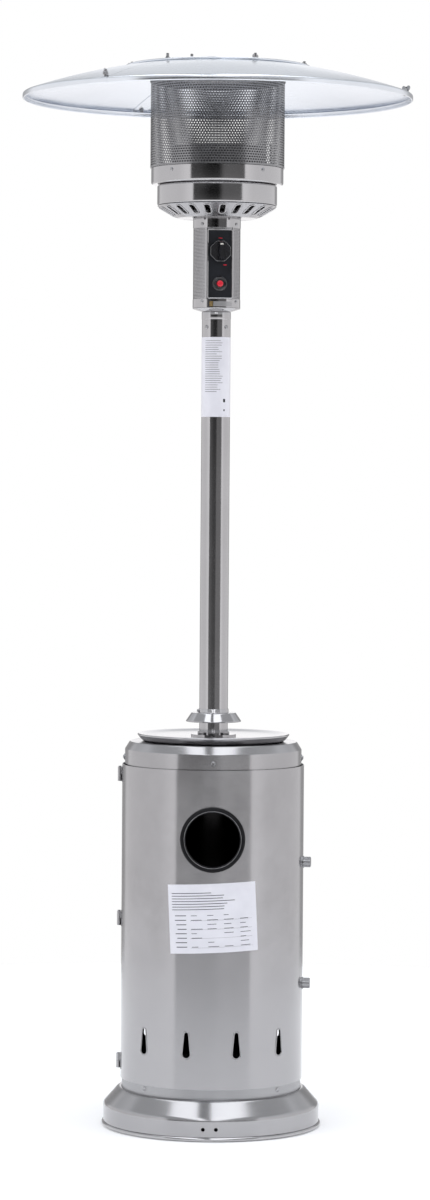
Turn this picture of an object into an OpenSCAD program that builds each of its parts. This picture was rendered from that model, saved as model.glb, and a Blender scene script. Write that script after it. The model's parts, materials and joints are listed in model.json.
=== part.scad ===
// Free-standing gas patio heater: round base, bottle housing with a hinged door,
// post, control head, burner with a mesh emitter, and a three-panel reflector.
// Millimetres. +Z is up, the floor is z = 0, the post's axis is X = Y = 0 and the
// door faces -Y. An azimuth is counted from -Y towards +X.

/* [Base] */
// Radius over the rolled rim of the floor pan
base_r = 230; // [226:1:240]
// Radius of the upright wall of the base
base_wall_r = 226.5; // [224:0.5:227]
// Height where the base's wall bends into its sloping shoulder
base_crease_z = 40; // [36:1:44]
// Height of the top of the sloping shoulder
base_top_z = 80; // [78:1:84]
// Radius of the bends below and above the shoulder's slope
base_bend_r = 15; // [10:1:18]
// Distance between the two wheel bracket holes
wheel_hole_pitch = 26.6; // [22:0.2:32]
// Radius of a wheel bracket hole
wheel_hole_r = 3.9; // [3:0.1:5]

/* [Bottle housing] */
// Outer radius of the door and the rear shell
housing_r = 190.5; // [190:0.5:193]
// Height of the housing's lower edge
housing_bottom_z = 100; // [96:1:106]
// Height of the housing's upper edge
housing_top_z = 757; // [750:1:760]
// Thickness of the rolled sheet
sheet_t = 1.2; // [0.8:0.1:1.5]
// Outer radius of the ring that joins the housing to the base
ring_r = 187.6; // [186:0.1:188]
// Height of the middle of the hand port
port_z = 615; // [590:1:640]
// Outer radius of the port's black ring
port_ring_r = 66.8; // [62:0.2:70]
// Clear radius of the port
port_r = 55.8; // [50:0.2:56]
// Height of the bottom of the vents
vent_bottom_z = 165; // [140:1:190]
// Height of one vent
vent_h = 53; // [40:1:60]

/* [Cover and post] */
// Radius of the cover's band
cover_r = 185; // [184:0.5:186]
// Height where the cover's band turns into its shoulder
cover_band_z = 788; // [784:1:792]
// Height of the cover's flat top
cover_top_z = 805; // [800:1:810]
// Radius of the raised disc
disc_r = 159; // [150:1:162]
// Height of the raised disc's top
disc_top_z = 817; // [815:1:820]
// Radius of the post
post_r = 30; // [30:0.5:30]
// Height of the post's upper end
post_top_z = 1686; // [1660:1:1700]

/* [Control head] */
// Radius of the head's bands
head_r = 49.8; // [49.8:0.1:50.4]
// Height of the head's lower edge
head_bottom_z = 1710; // [1708:1:1714]
// Height of the head's upper edge
head_top_z = 1896; // [1894:1:1898]
// Turn of the control panel from the door's direction
head_turn = 8.5; // [0:1:20]
// Height of the gas knob
knob_z = 1826; // [1820:1:1832]
// Height of the igniter button
igniter_z = 1759; // [1755:1:1765]

/* [Burner] */
// Radius of the lower drum
lower_drum_r = 125; // [118:1:126]
// Radius of the upper drum
upper_drum_r = 138; // [132:1:139]
// Radius of the emitter screen
screen_r = 140; // [138:1:144]
// Number of slots in the air bowl
bowl_slots = 22; // [12:1:24]

/* [Reflector] */
// Radius of the reflector over its rim
reflector_r = 406.5; // [395:0.5:420]
// Height of the rim's lower edge
rim_z = 2142; // [2138:1:2146]
// Depth of the rim's upright hem
hem_h = 11; // [8:1:14]
// Radius of the centre disc
centre_disc_r = 194.5; // [185:0.5:200]
// Azimuth of the front left seam
seam_az = -33; // [-60:1:0]

/* [Hidden] */
$fn = 72;
gap = 0.3;
slit = 0.15;
pan_t = 2;
bead_r = 4.5;
wheel_hole_x = -2.6;
wheel_hole_z = 25;
shell_in = housing_r - sheet_t;
leg_r = 166;
leg_t = 3;
leg_w = 30;
leg_azs = [-75, 75, -135, 135];
mount_plate_z = 797;
mount_plate_t = 5;
ring_top_z = 118;
ring_low_z = 62;
ring_screw_z = 93;
hoop_z = 738;
hoop_h = 14;
front_azs = [-47, -15.7, 15.7, 47];
ring_screw_azs = [-47, 47, -133, 133];
rear_screw_azs = [133, 180, -133];
rear_screw_low_z = 109;
rear_screw_high_z = 745;
hinge_zs = [132, 432, 735];
hinge_h = 30;
knuckle_r = 4.5;
hinge_pin_r = 2;
run_clear = 0.05;
hinge_x = housing_r + knuckle_r + 0.2;
latch_az = 84.5;
latch_zs = [300, 554];
label_t = 0.3;
door_label_w = 188;
door_label_h = 142;
door_label_z = 454;
door_label_tilt = 2.7;
bolt_r = 4;
bolt_circle_r = 38;
bolt_azs = [45, 135, 225, 315];
cover_screw_z = 771;
post_t = 1.5;
post_foot_z = mount_plate_z + mount_plate_t;
flange_r = 47;
flange_t = 3;
post_hole_r = post_r + 0.4;
bell_screw_az = -80;
bell_z = 846;
bell_h = 19;
bell_low_r = 57.7;
bell_top_r = 45;
collar_h = 8;
collar_t = 1.4;
post_label_z = 1483;
post_label_h = 166;
post_screw_z = 1670;
post_screw_azs = [-42, 44, 180];
neck_top_z = 1702;
can_r = 48.2;
wrap_r = 49.1;
low_band_z = 1727;
high_band_z = 1876;
head_screw_low_z = 1722.5;
head_screw_high_z = 1883;
panel_w = 48.5;
panel_h = 140;
panel_mid_z = 1800;
panel_lip = 2.6;
panel_x = 44.5;
panel_t = 2;
spindle_r = 3;
knob_r = 23;
knob_gap = 5;
valve_x = 14;
pipe_r = 4;
pipe_bore_r = 2.5;
pipe_low_z = 782;
valve_half_h = 20;
bezel_r = 15.6;
button_r = 6.5;
bowl_low_z = 1898;
bowl_edge_z = 1921;
bowl_low_r = 88;
drum_low_z = 1922;
drum_mid_z = 1965.5;
drum_top_z = 2000;
drum_t = 1.2;
drum_round = 5;
burner_r = 95;
burner_z = 2010;
cap_z = 2188;
panel_steel = 1;
land_z = 2206;
land_r = 165;
disc_z = land_z + panel_steel + gap;
stud_r = 3;
stud_circle_r = 119;
stud_azs = [-27, 93, 213];
inner_bolt_r = 180;
inner_bolt_azs = [for (i = [0:5]) seam_az + 60 * i];
outer_bolt_r = 392;
bolt_offset = 2;
seam_azs = [for (i = [0:2]) seam_az + 120 * i];

// ---- helpers ----

// Points along an arc about c
function arc(c, r, a0, a1, n = 6) =
    [for (i = [0:n]) let (a = a0 + (a1 - a0) * i / n) c + r * [cos(a), sin(a)]];
function to_left(v) = [-v[1], v[0]] / norm(v);
// Mitred normal on the left of a path at its point i
function path_normal(p, i) =
    i == 0 ? to_left(p[1] - p[0])
    : i == len(p) - 1 ? to_left(p[i] - p[i - 1])
    : let (a = to_left(p[i] - p[i - 1]), b = to_left(p[i + 1] - p[i])) (a + b) / (1 + a * b);
// A sheet of thickness t on the left of a path: inside it, where the path climbs
function ribbon(p, t) = concat(p, [for (i = [len(p) - 1:-1:0]) p[i] + t * path_normal(p, i)]);

// Puts its children at an azimuth, with +X pointing away from the post
module at_az(a) { rotate([0, 0, a - 90]) children(); }

// A radial cylinder from radius r0 to r1 at height z
module radial(a, z, r, r0, r1) {
    at_az(a) translate([r0, 0, z]) rotate([0, 90, 0]) cylinder(r = r, h = r1 - r0);
}

// A tube along Z
module tube(r_out, r_in, z0, z1) {
    difference() {
        translate([0, 0, z0]) cylinder(r = r_out, h = z1 - z0);
        translate([0, 0, z0 - 1]) cylinder(r = r_in, h = z1 - z0 + 2);
    }
}

// Part of a tube between two azimuths
module arc_tube(r_out, r_in, z0, z1, a0, a1) {
    rotate([0, 0, a0 - 90]) rotate_extrude(angle = a1 - a0)
        translate([r_in, z0]) square([r_out - r_in, z1 - z0]);
}

// A pan-head screw along a radius: its head starts at radius r, its shank goes in
module radial_screw(a, z, r, head_r, head_h, shank_r, shank_l) {
    at_az(a) translate([r, 0, z]) rotate([0, 90, 0]) {
        cylinder(r = head_r, h = head_h * 0.45);
        translate([0, 0, head_h * 0.45]) cylinder(r1 = head_r, r2 = head_r * 0.62, h = head_h * 0.55);
        translate([0, 0, -shank_l]) cylinder(r = shank_r, h = shank_l);
    }
}

// ---- base ----

module base_pan() {
    color([0.62, 0.63, 0.66]) difference() {
        rotate_extrude() union() {
            square([base_r - bead_r, pan_t]);
            translate([base_r - bead_r, bead_r]) circle(r = bead_r);
        }
        for (a = leg_azs) at_az(a) translate([leg_r + leg_w - 10, 0, -1]) cylinder(r = 3.1, h = 6);
    }
}

module base_shell() {
    lip = 0.6;
    low = [base_wall_r - base_bend_r, base_crease_z];
    high = [ring_r + 1.6, base_top_z - base_bend_r];
    slope = atan((low[0] - high[0]) / (high[1] - low[1]));
    path = concat([[base_wall_r, 2 * bead_r + gap]], arc(low, base_bend_r, 0, slope, 5),
        arc(high, base_bend_r, slope, 90), [[ring_r + lip, base_top_z - lip],
        [ring_r + gap, base_top_z - 3 * lip], [ring_r + gap, base_top_z - 12]]);
    color([0.66, 0.67, 0.7]) difference() {
        rotate_extrude() polygon(ribbon(path, sheet_t));
        for (s = [-1, 1]) translate([wheel_hole_x + s * wheel_hole_pitch / 2, 0, wheel_hole_z])
            rotate([90, 0, 0]) cylinder(r = wheel_hole_r, h = base_r);
    }
}

module support_legs() {
    color([0.55, 0.56, 0.58]) for (a = leg_azs) at_az(a) difference() {
        translate([0, -leg_w / 2, 0]) union() {
            translate([leg_r, 0, pan_t]) cube([leg_t, leg_w, mount_plate_z - pan_t]);
            translate([leg_r, 0, pan_t]) cube([leg_w + 4, leg_w, leg_t]);
            translate([leg_r - leg_w, 0, mount_plate_z - leg_t]) cube([leg_w + leg_t, leg_w, leg_t]);
        }
        translate([leg_r + leg_w - 10, 0, 0]) cylinder(r = 3.1, h = 12);
        translate([leg_r - 16, 0, mount_plate_z - 10]) cylinder(r = 3.1, h = 20);
    }
}

module leg_screws() {
    color([0.5, 0.51, 0.53]) for (a = leg_azs) at_az(a) {
        translate([leg_r + leg_w - 10, 0, 0.3]) cylinder(r = 3, h = pan_t + leg_t - 0.3);
        translate([leg_r + leg_w - 10, 0, pan_t + leg_t]) cylinder(r = 5.5, h = 3.5);
        translate([leg_r - 16, 0, mount_plate_z - leg_t - 6]) cylinder(r = 3, h = leg_t + mount_plate_t + 6);
        translate([leg_r - 16, 0, mount_plate_z - leg_t - 5]) cylinder(r = 5.5, h = 5);
    }
}

// ---- bottle housing ----

module lower_ring() {
    color([0.66, 0.67, 0.7]) difference() {
        tube(ring_r, ring_r - sheet_t, ring_low_z, ring_top_z);
        for (a = ring_screw_azs) radial(a, ring_screw_z, 2.6, 150, 200);
        for (a = rear_screw_azs) radial(a, rear_screw_low_z, 2.1, 150, 200);
    }
}

module housing_hoop() {
    color([0.55, 0.56, 0.58]) difference() {
        tube(shell_in - gap, cover_r + gap, hoop_z, hoop_z + hoop_h);
        for (a = rear_screw_azs) radial(a, rear_screw_high_z, 2.1, 150, 200);
    }
}

// One teardrop vent, wide at the bottom, cut along a radius
module vent(a) {
    low_r = 8;
    high_r = 4;
    at_az(a) translate([150, 0, 0]) rotate([90, 0, 90]) linear_extrude(60) union() {
        translate([0, vent_bottom_z + low_r]) circle(r = low_r);
        translate([0, vent_bottom_z + vent_h - high_r]) circle(r = high_r);
        polygon([[-low_r, vent_bottom_z + low_r], [low_r, vent_bottom_z + low_r],
            [high_r, vent_bottom_z + vent_h - high_r], [-high_r, vent_bottom_z + vent_h - high_r]]);
    }
}

module rear_shell() {
    color([0.68, 0.69, 0.72]) difference() {
        arc_tube(housing_r, shell_in, housing_bottom_z, housing_top_z, 90, 270);
        for (a = front_azs) vent(180 + a);
        for (a = rear_screw_azs) {
            radial(a, rear_screw_low_z, 2.1, 150, 200);
            radial(a, rear_screw_high_z, 2.1, 150, 200);
        }
    }
}

module shell_screws() {
    color([0.6, 0.61, 0.63]) {
        for (a = ring_screw_azs) radial_screw(a, ring_screw_z, ring_r, 4.6, 1.4, 2.5, 8);
        for (a = rear_screw_azs) {
            radial_screw(a, rear_screw_low_z, housing_r, 4.2, 2.4, 2, 8);
            radial_screw(a, rear_screw_high_z, housing_r, 4.2, 2.4, 2, 5);
        }
    }
}

module door() {
    color([0.68, 0.69, 0.72]) difference() {
        arc_tube(housing_r, shell_in, housing_bottom_z, housing_top_z, -90 + slit, 90 - slit);
        for (a = front_azs) vent(a);
        radial(0, port_z, port_r + 3.3, 100, 250);
        for (z = latch_zs) radial(latch_az, z, 3.05, 150, 250);
    }
}

// The rubber-like ring round the hand port: a flange outside, a neck, a flange inside
module port_ring() {
    color([0.1, 0.11, 0.13]) union() {
        intersection() {
            tube(housing_r + 4, housing_r + 0.1, port_z - 80, port_z + 80);
            difference() {
                radial(0, port_z, port_ring_r, 100, 250);
                radial(0, port_z, port_r, 99, 251);
            }
        }
        intersection() {
            tube(housing_r + 2, shell_in - 6, port_z - 80, port_z + 80);
            difference() {
                radial(0, port_z, port_r + 3, 100, 250);
                radial(0, port_z, port_r, 99, 251);
            }
        }
        intersection() {
            tube(shell_in - 0.2, shell_in - 2.5, port_z - 80, port_z + 80);
            difference() {
                radial(0, port_z, port_r + 7, 100, 250);
                radial(0, port_z, port_r, 99, 251);
            }
        }
    }
}

module housing_label() {
    color([0.88, 0.88, 0.92]) intersection() {
        tube(housing_r + label_t, housing_r, door_label_z - 100, door_label_z + 100);
        translate([1.5, -150, door_label_z]) rotate([0, -door_label_tilt, 0])
            cube([door_label_w * 0.955, 200, door_label_h], center = true);
    }
}

// A hinge half: a curved leaf on the shell, a flat strap and a knuckle on the hinge line
module hinge_half(side, z0, z1) {
    leaf_t = 1.2;
    near = -90 + side * 1.9;
    tip = -90 + side * 7.5;
    strap_l = 8;
    strap_t = 1.6;
    strap_gap = 0.5;
    difference() {
        union() {
            arc_tube(housing_r + leaf_t, housing_r, side > 0 ? z1 - hinge_h : z0, side > 0 ? z1 : z0 + hinge_h,
                min(near, tip), max(near, tip));
            translate([-hinge_x, 0, z0]) cylinder(r = knuckle_r, h = z1 - z0);
            translate([-housing_r - strap_gap - strap_t, side > 0 ? -strap_l : 0, z0])
                cube([strap_t, strap_l, z1 - z0]);
        }
        translate([-hinge_x, 0, z0 - 1])
            cylinder(r = hinge_pin_r + (side > 0 ? run_clear : 0), h = z1 - z0 + 2);
    }
}

module fixed_hinge_leaves() {
    color([0.6, 0.61, 0.63]) for (z = hinge_zs) hinge_half(-1, z - hinge_h / 2, z - 0.2);
}

module door_hinge_leaves() {
    color([0.62, 0.63, 0.65]) for (z = hinge_zs) hinge_half(1, z + 0.2, z + hinge_h / 2);
}

module hinge_pins() {
    color([0.75, 0.76, 0.78]) for (z = hinge_zs) translate([-hinge_x, 0, 0]) {
        translate([0, 0, z - hinge_h / 2]) cylinder(r = hinge_pin_r, h = hinge_h + 0.5);
        translate([0, 0, z + hinge_h / 2 + 0.5]) cylinder(r = 3.2, h = 1.2);
    }
}

// A knurled turn knob: head, shank through the door, clamp bar behind the catch plate
module turn_knob(z) {
    knurls = 24;
    head = 11;
    head_l = 13;
    at_az(latch_az) translate([housing_r + 2, 0, z]) rotate([0, 90, 0]) {
        difference() {
            union() {
                cylinder(r = head, h = head_l);
                translate([0, 0, head_l]) cylinder(r1 = head, r2 = head - 1.4, h = 1.2);
            }
            for (i = [0:knurls - 1]) rotate([0, 0, i * 360 / knurls])
                translate([head + 0.4, 0, 1.5]) cylinder(r = 0.8, h = head_l);
        }
        translate([0, 0, -10.5]) cylinder(r = 3, h = 11);
        translate([-12, -4, -10.5]) cube([24, 8, 2.8]);
    }
}

module upper_turn_knob() { color([0.7, 0.71, 0.73]) turn_knob(latch_zs[1]); }
module lower_turn_knob() { color([0.7, 0.71, 0.73]) turn_knob(latch_zs[0]); }

module turn_knob_washers() {
    color([0.8, 0.81, 0.83]) for (z = latch_zs) difference() {
        radial(latch_az, z, 12.5, housing_r, housing_r + 1.6);
        radial(latch_az, z, 3.05, 150, 250);
    }
}

// Curved plates welded inside the rear shell, each with a slot open towards the door
module catch_plates() {
    plate_out = housing_r - 3.2;
    slot_r = 3.8;
    color([0.55, 0.56, 0.58]) for (z = latch_zs) {
        difference() {
            arc_tube(plate_out, plate_out - 1.5, z - 22, z + 22, 80, 98);
            radial(latch_az, z, slot_r, 150, 250);
            at_az(latch_az) translate([150, -30, z - slot_r]) cube([60, 30, 2 * slot_r]);
        }
        arc_tube(shell_in, plate_out - 0.5, z - 22, z + 22, 93, 98);
    }
}

// ---- cover and post ----

module tank_cover() {
    bend = 3;
    slope = 32;
    flat_r = cover_r - bend - tan(slope) * (cover_top_z - bend - cover_band_z);
    path = concat([[cover_r, hoop_z]], arc([cover_r - bend, cover_band_z], bend, 0, slope, 3),
        arc([flat_r, cover_top_z - bend], bend, slope, 90, 3), [[post_hole_r, cover_top_z]]);
    color([0.68, 0.69, 0.72]) difference() {
        rotate_extrude() polygon(ribbon(path, sheet_t));
        for (a = [0:90:270]) radial(a, cover_screw_z, 2.6, 150, 200);
        bolt_holes();
    }
}

module cover_screws() {
    color([0.75, 0.76, 0.78]) for (a = [0:90:270]) {
        radial_screw(a, cover_screw_z, cover_r + 1.2, 4.4, 2.8, 2.5, 9);
        difference() {
            radial(a, cover_screw_z, 6.6, cover_r + 0.1, cover_r + 1.2);
            radial(a, cover_screw_z, 2.5, cover_r - 1, cover_r + 2);
        }
    }
}

// Clearance holes for the post's four foot bolts
module bolt_holes() {
    for (a = bolt_azs) at_az(a) translate([bolt_circle_r, 0, mount_plate_z - 5]) cylinder(r = bolt_r + 0.2, h = 60);
}

module cover_disc() {
    low_r = disc_r - 12;
    path = [[low_r - 5, cover_top_z + gap], [low_r, cover_top_z + gap], [low_r + 9, disc_top_z - 4],
        [disc_r - 0.6, disc_top_z - 2.6], [disc_r, disc_top_z - 1.6], [disc_r - 0.6, disc_top_z - 0.5],
        [disc_r - 2, disc_top_z], [post_hole_r, disc_top_z]];
    color([0.7, 0.71, 0.74]) difference() {
        rotate_extrude() polygon(ribbon(path, 1));
        bolt_holes();
    }
}

module post_mount_plate() {
    color([0.5, 0.51, 0.53]) difference() {
        translate([0, 0, mount_plate_z]) cylinder(r = leg_r + leg_t, h = mount_plate_t);
        translate([0, 0, mount_plate_z - 1]) cylinder(r = pipe_r + 0.3, h = mount_plate_t + 2);
        for (a = [0, 90, 180, 270]) at_az(a) translate([100, 0, mount_plate_z - 1])
            cylinder(r = 30, h = mount_plate_t + 2);
        for (a = leg_azs) at_az(a) translate([leg_r - 16, 0, mount_plate_z - 1])
            cylinder(r = 3, h = mount_plate_t + 2);
        bolt_holes();
    }
}

module flange_bolts() {
    nut_h = 6;
    color([0.75, 0.76, 0.78]) for (a = bolt_azs) at_az(a) translate([bolt_circle_r, 0, 0]) {
        translate([0, 0, mount_plate_z - nut_h - 3]) cylinder(r = bolt_r, h = disc_top_z + flange_t - mount_plate_z + nut_h + 3);
        translate([0, 0, disc_top_z + flange_t]) cylinder(r = 6.5, h = 3.6, $fn = 6);
        translate([0, 0, mount_plate_z - nut_h]) cylinder(r = 7.2, h = nut_h, $fn = 6);
    }
}

// The bell that slides on the post: a rolled rim, a cone and a thin collar
module escutcheon() {
    rim_h = 2;
    rim_in = 0.8;
    shoulder = 1.2;
    path = [[bell_low_r - rim_in, bell_z], [bell_low_r, bell_z + rim_in], [bell_low_r, bell_z + rim_h],
        [bell_top_r + shoulder, bell_z + bell_h - shoulder / 2], [bell_top_r, bell_z + bell_h],
        [post_r + collar_t - rim_in, bell_z + bell_h]];
    color([0.74, 0.75, 0.78]) difference() {
        union() {
            rotate_extrude() polygon(ribbon(path, sheet_t));
            tube(post_r + collar_t, post_r + gap, bell_z + bell_h - sheet_t, bell_z + bell_h + collar_h);
        }
        radial(bell_screw_az, bell_z + bell_h + collar_h / 2, 2.05, post_r - 2, 50);
    }
}

module escutcheon_screw() {
    color([0.6, 0.61, 0.63])
        radial_screw(bell_screw_az, bell_z + bell_h + collar_h / 2, post_r + collar_t + 0.4, 3.2, 3.4, 2, 1.3);
}

module post() {
    color([0.7, 0.71, 0.74]) difference() {
        union() {
            tube(post_r, post_r - post_t, post_foot_z, post_top_z);
            tube(flange_r, post_r - post_t, disc_top_z, disc_top_z + flange_t);
        }
        bolt_holes();
        for (a = post_screw_azs) radial(a, post_screw_z, 2.1, 15, 50);
    }
}

module post_label() {
    wrap_half = 108;
    color([0.9, 0.91, 0.95])
        arc_tube(post_r + label_t, post_r, post_label_z, post_label_z + post_label_h, -wrap_half, wrap_half);
}

module post_screws() {
    color([0.7, 0.71, 0.73]) for (a = post_screw_azs) radial_screw(a, post_screw_z, post_r, 4, 2.6, 2, 5);
}

// ---- control head ----

// The ring on top of the post, with a spigot inside it
module neck_adaptor() {
    spigot_r = post_r - post_t - 0.2;
    spigot_t = 1.5;
    spigot_l = 30;
    lip = 0.5;
    color([0.72, 0.73, 0.76]) difference() {
        rotate_extrude() polygon([[spigot_r - spigot_t, post_top_z - spigot_l], [spigot_r, post_top_z - spigot_l],
            [spigot_r, post_top_z + 0.2], [post_r, post_top_z + 0.2], [post_r + lip, post_top_z + 1],
            [post_r + lip, neck_top_z - 1], [post_r, neck_top_z], [spigot_r - spigot_t, neck_top_z]]);
        for (a = post_screw_azs) radial(a, post_screw_z, 2.1, 15, 50);
    }
}

// The shallow cone under the control head
module head_base() {
    in_r = 20;
    cone_t = 2;
    color([0.72, 0.73, 0.76]) rotate_extrude()
        polygon([[in_r, neck_top_z + 0.1], [post_r + 1.5, neck_top_z + 0.1], [head_r - 0.6, head_bottom_z - 1.5],
            [head_r - 0.2, head_bottom_z - gap], [in_r, head_bottom_z - gap], [in_r, head_bottom_z - cone_t],
            [post_r, head_bottom_z - cone_t], [post_r - 2, neck_top_z + cone_t], [in_r, neck_top_z + cone_t]]);
}

// The opening in the head for the control panel
module panel_window(grow) {
    translate([20, -panel_w / 2 - grow, panel_mid_z - panel_h / 2 - grow])
        cube([50, panel_w + 2 * grow, panel_h + 2 * grow]);
}

module control_can() {
    color([0.5, 0.51, 0.53]) difference() {
        tube(can_r, can_r - sheet_t, head_bottom_z, head_top_z);
        at_az(head_turn) panel_window(panel_lip + 0.2);
        for (s = [-1, 1]) {
            radial(head_turn + s * 46, head_screw_high_z, 1.7, 30, 60);
            radial(head_turn + s * 46, head_screw_low_z, 1.7, 30, 60);
        }
    }
}

// The finely pierced sleeve, drawn here as a plain sheet
module perforated_wrap() {
    color([0.6, 0.61, 0.64]) difference() {
        tube(wrap_r, can_r + 0.1, low_band_z, high_band_z);
        at_az(head_turn) panel_window(panel_lip + 0.2);
    }
}

module head_bands() {
    color([0.76, 0.77, 0.8]) difference() {
        union() {
            tube(head_r, can_r, head_bottom_z, low_band_z);
            tube(head_r, can_r, high_band_z, head_top_z);
        }
        at_az(head_turn) panel_window(panel_lip + 0.2);
        for (s = [-1, 1]) {
            radial(head_turn + s * 46, head_screw_high_z, 1.7, 30, 60);
            radial(head_turn + s * 46, head_screw_low_z, 1.7, 30, 60);
        }
    }
}

module head_screws() {
    color([0.7, 0.71, 0.73]) for (s = [-1, 1]) {
        radial_screw(head_turn + s * 46, head_screw_high_z, head_r, 3.4, 2, 1.6, 6);
        radial_screw(head_turn + s * 46, head_screw_low_z, head_r, 3.4, 2, 1.6, 6);
    }
}

module panel_frame() {
    color([0.8, 0.81, 0.83]) at_az(head_turn) difference() {
        translate([panel_x - 4.5, -panel_w / 2 - panel_lip, panel_mid_z - panel_h / 2 - panel_lip])
            cube([7, panel_w + 2 * panel_lip, panel_h + 2 * panel_lip]);
        translate([30, -panel_w / 2, panel_mid_z - panel_h / 2]) cube([40, panel_w, panel_h]);
    }
}

module control_panel() {
    color([0.13, 0.15, 0.17]) at_az(head_turn) difference() {
        translate([panel_x - panel_t, -panel_w / 2, panel_mid_z - panel_h / 2])
            cube([panel_t, panel_w, panel_h]);
        translate([30, 0, knob_z]) rotate([0, 90, 0]) cylinder(r = 7, h = 30);
        translate([30, 0, igniter_z]) rotate([0, 90, 0]) cylinder(r = 11, h = 30);
    }
}

// Gas knob: skirt, grip bar and a pointer rib
module control_knob() {
    skirt_h = 6;
    grip_h = 17;
    color([0.1, 0.11, 0.12]) at_az(head_turn) translate([panel_x + knob_gap, 0, knob_z]) rotate([0, 90, 0])
        difference() {
            union() {
                cylinder(r = knob_r, h = skirt_h - 1.5);
                translate([0, 0, skirt_h - 1.5]) cylinder(r1 = knob_r, r2 = knob_r - 1.5, h = 1.5);
                intersection() {
                    translate([0, 0, skirt_h - 1]) cylinder(r1 = knob_r - 1, r2 = knob_r - 3.5, h = grip_h + 1);
                    translate([-knob_r, -5, 0]) cube([2 * knob_r, 10, 40]);
                }
            }
            translate([0, 0, -1]) cylinder(r = spindle_r + run_clear, h = 14);
        }
}

module valve_spindle() {
    color([0.75, 0.62, 0.3]) at_az(head_turn) translate([valve_x + 12, 0, knob_z]) rotate([0, 90, 0])
        cylinder(r = spindle_r, h = panel_x + knob_gap + 7 - valve_x - 12);
}

module gas_valve() {
    body_w = 22;
    color([0.72, 0.6, 0.32]) at_az(head_turn) difference() {
        union() {
            translate([valve_x - 22, -body_w / 2, knob_z - valve_half_h]) cube([38, body_w, 2 * valve_half_h]);
            translate([valve_x + 16, 0, knob_z]) rotate([0, 90, 0]) cylinder(r = 6, h = 8);
        }
        translate([valve_x + 6, 0, knob_z]) rotate([0, 90, 0]) cylinder(r = spindle_r + run_clear, h = 40);
        translate([0, 0, knob_z - valve_half_h - 1]) cylinder(r = pipe_r, h = 9);
        translate([0, 0, knob_z + valve_half_h - 8]) cylinder(r = pipe_r, h = 9);
    }
}

module gas_pipe() {
    low_top = knob_z - valve_half_h + 8;
    high_low = knob_z + valve_half_h - 8;
    high_top = head_top_z + 14;
    color([0.75, 0.62, 0.3]) {
        tube(pipe_r, pipe_bore_r, pipe_low_z, low_top);
        difference() {
            translate([0, 0, high_low]) cylinder(r = pipe_r, h = high_top - high_low);
            translate([0, 0, high_low - 1]) cylinder(r = pipe_bore_r, h = high_top - high_low - 3);
            translate([0, 0, high_low]) cylinder(r = 0.6, h = 100);
        }
    }
}

// Threaded hose connection under the mounting plate
module gas_inlet() {
    thread_r = 6.6;
    thread_l = 14;
    hex_h = 10;
    low_z = pipe_low_z - hex_h + 1 - thread_l;
    color([0.78, 0.64, 0.32]) difference() {
        union() {
            translate([0, 0, low_z]) cylinder(r = thread_r, h = thread_l);
            translate([0, 0, low_z + thread_l]) cylinder(r = 11, h = hex_h, $fn = 6);
        }
        translate([0, 0, low_z - 1]) cylinder(r = 3, h = 40);
        translate([0, 0, pipe_low_z]) cylinder(r = pipe_r, h = 20);
    }
}

module igniter_bezel() {
    color([0.07, 0.07, 0.08]) at_az(head_turn) translate([panel_x, 0, igniter_z]) rotate([0, 90, 0]) difference() {
        union() {
            translate([0, 0, 0.1]) cylinder(r = bezel_r, h = 2.4);
            translate([0, 0, 2.5]) cylinder(r1 = bezel_r, r2 = bezel_r - 2, h = 1.5);
            translate([0, 0, -12]) cylinder(r = 10.8, h = 13);
        }
        translate([0, 0, -8]) cylinder(r = button_r + 0.3, h = 40);
        translate([0, 0, -13]) cylinder(r = 4.4, h = 8);
    }
}

module igniter_button() {
    color([0.85, 0.1, 0.14]) at_az(head_turn) translate([panel_x, 0, igniter_z]) rotate([0, 90, 0]) {
        translate([0, 0, -1]) cylinder(r = button_r, h = 8.2);
        translate([0, 0, 7.2]) cylinder(r1 = button_r, r2 = button_r - 1.2, h = 0.8);
    }
}

module igniter_body() {
    color([0.85, 0.85, 0.82]) at_az(head_turn) translate([panel_x, 0, igniter_z]) rotate([0, 90, 0]) {
        translate([0, 0, -35]) cylinder(r = 9, h = 22.7);
        translate([0, 0, -12.4]) cylinder(r = 4.2, h = 4);
    }
}

// ---- burner ----

// Cone-shaped bowl with a ring of air slots
module air_bowl() {
    slot_w = 11;
    slot_in_r = 97;
    slot_out_r = 114;
    path = [[20, head_top_z + gap], [bowl_low_r - 7, head_top_z + gap], [bowl_low_r - 2, head_top_z + 1],
        [bowl_low_r, bowl_low_z], [lower_drum_r - 2, bowl_edge_z - 0.6], [lower_drum_r - 0.6, bowl_edge_z + 0.5]];
    color([0.72, 0.73, 0.76]) difference() {
        rotate_extrude() polygon(ribbon(path, 1));
        for (i = [0:bowl_slots - 1]) at_az(6 + i * 360 / bowl_slots) {
            for (r = [slot_in_r, slot_out_r]) translate([r, 0, bowl_low_z - 8]) cylinder(r = slot_w / 2, h = 40);
            translate([slot_in_r, -slot_w / 2, bowl_low_z - 8]) cube([slot_out_r - slot_in_r, slot_w, 40]);
        }
        for (a = [-40, 40, 180]) at_az(a) translate([72, 0, head_top_z - 5]) cylinder(r = 2.1, h = 12);
    }
}

// Outline of a drum: a rolled wall with rounded edges and lips turned in
function drum_path(r, z0, z1, lip_low, lip_high) = concat(
    [[lip_low, z0]], arc([r - drum_round, z0 + drum_round], drum_round, -90, 0, 5),
    arc([r - drum_round, z1 - drum_round], drum_round, 0, 90, 5), [[lip_high, z1]]);

module lower_drum() {
    color([0.74, 0.75, 0.78])
        rotate_extrude() polygon(ribbon(drum_path(lower_drum_r, drum_low_z, drum_mid_z, 106, 100), drum_t));
}

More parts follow.
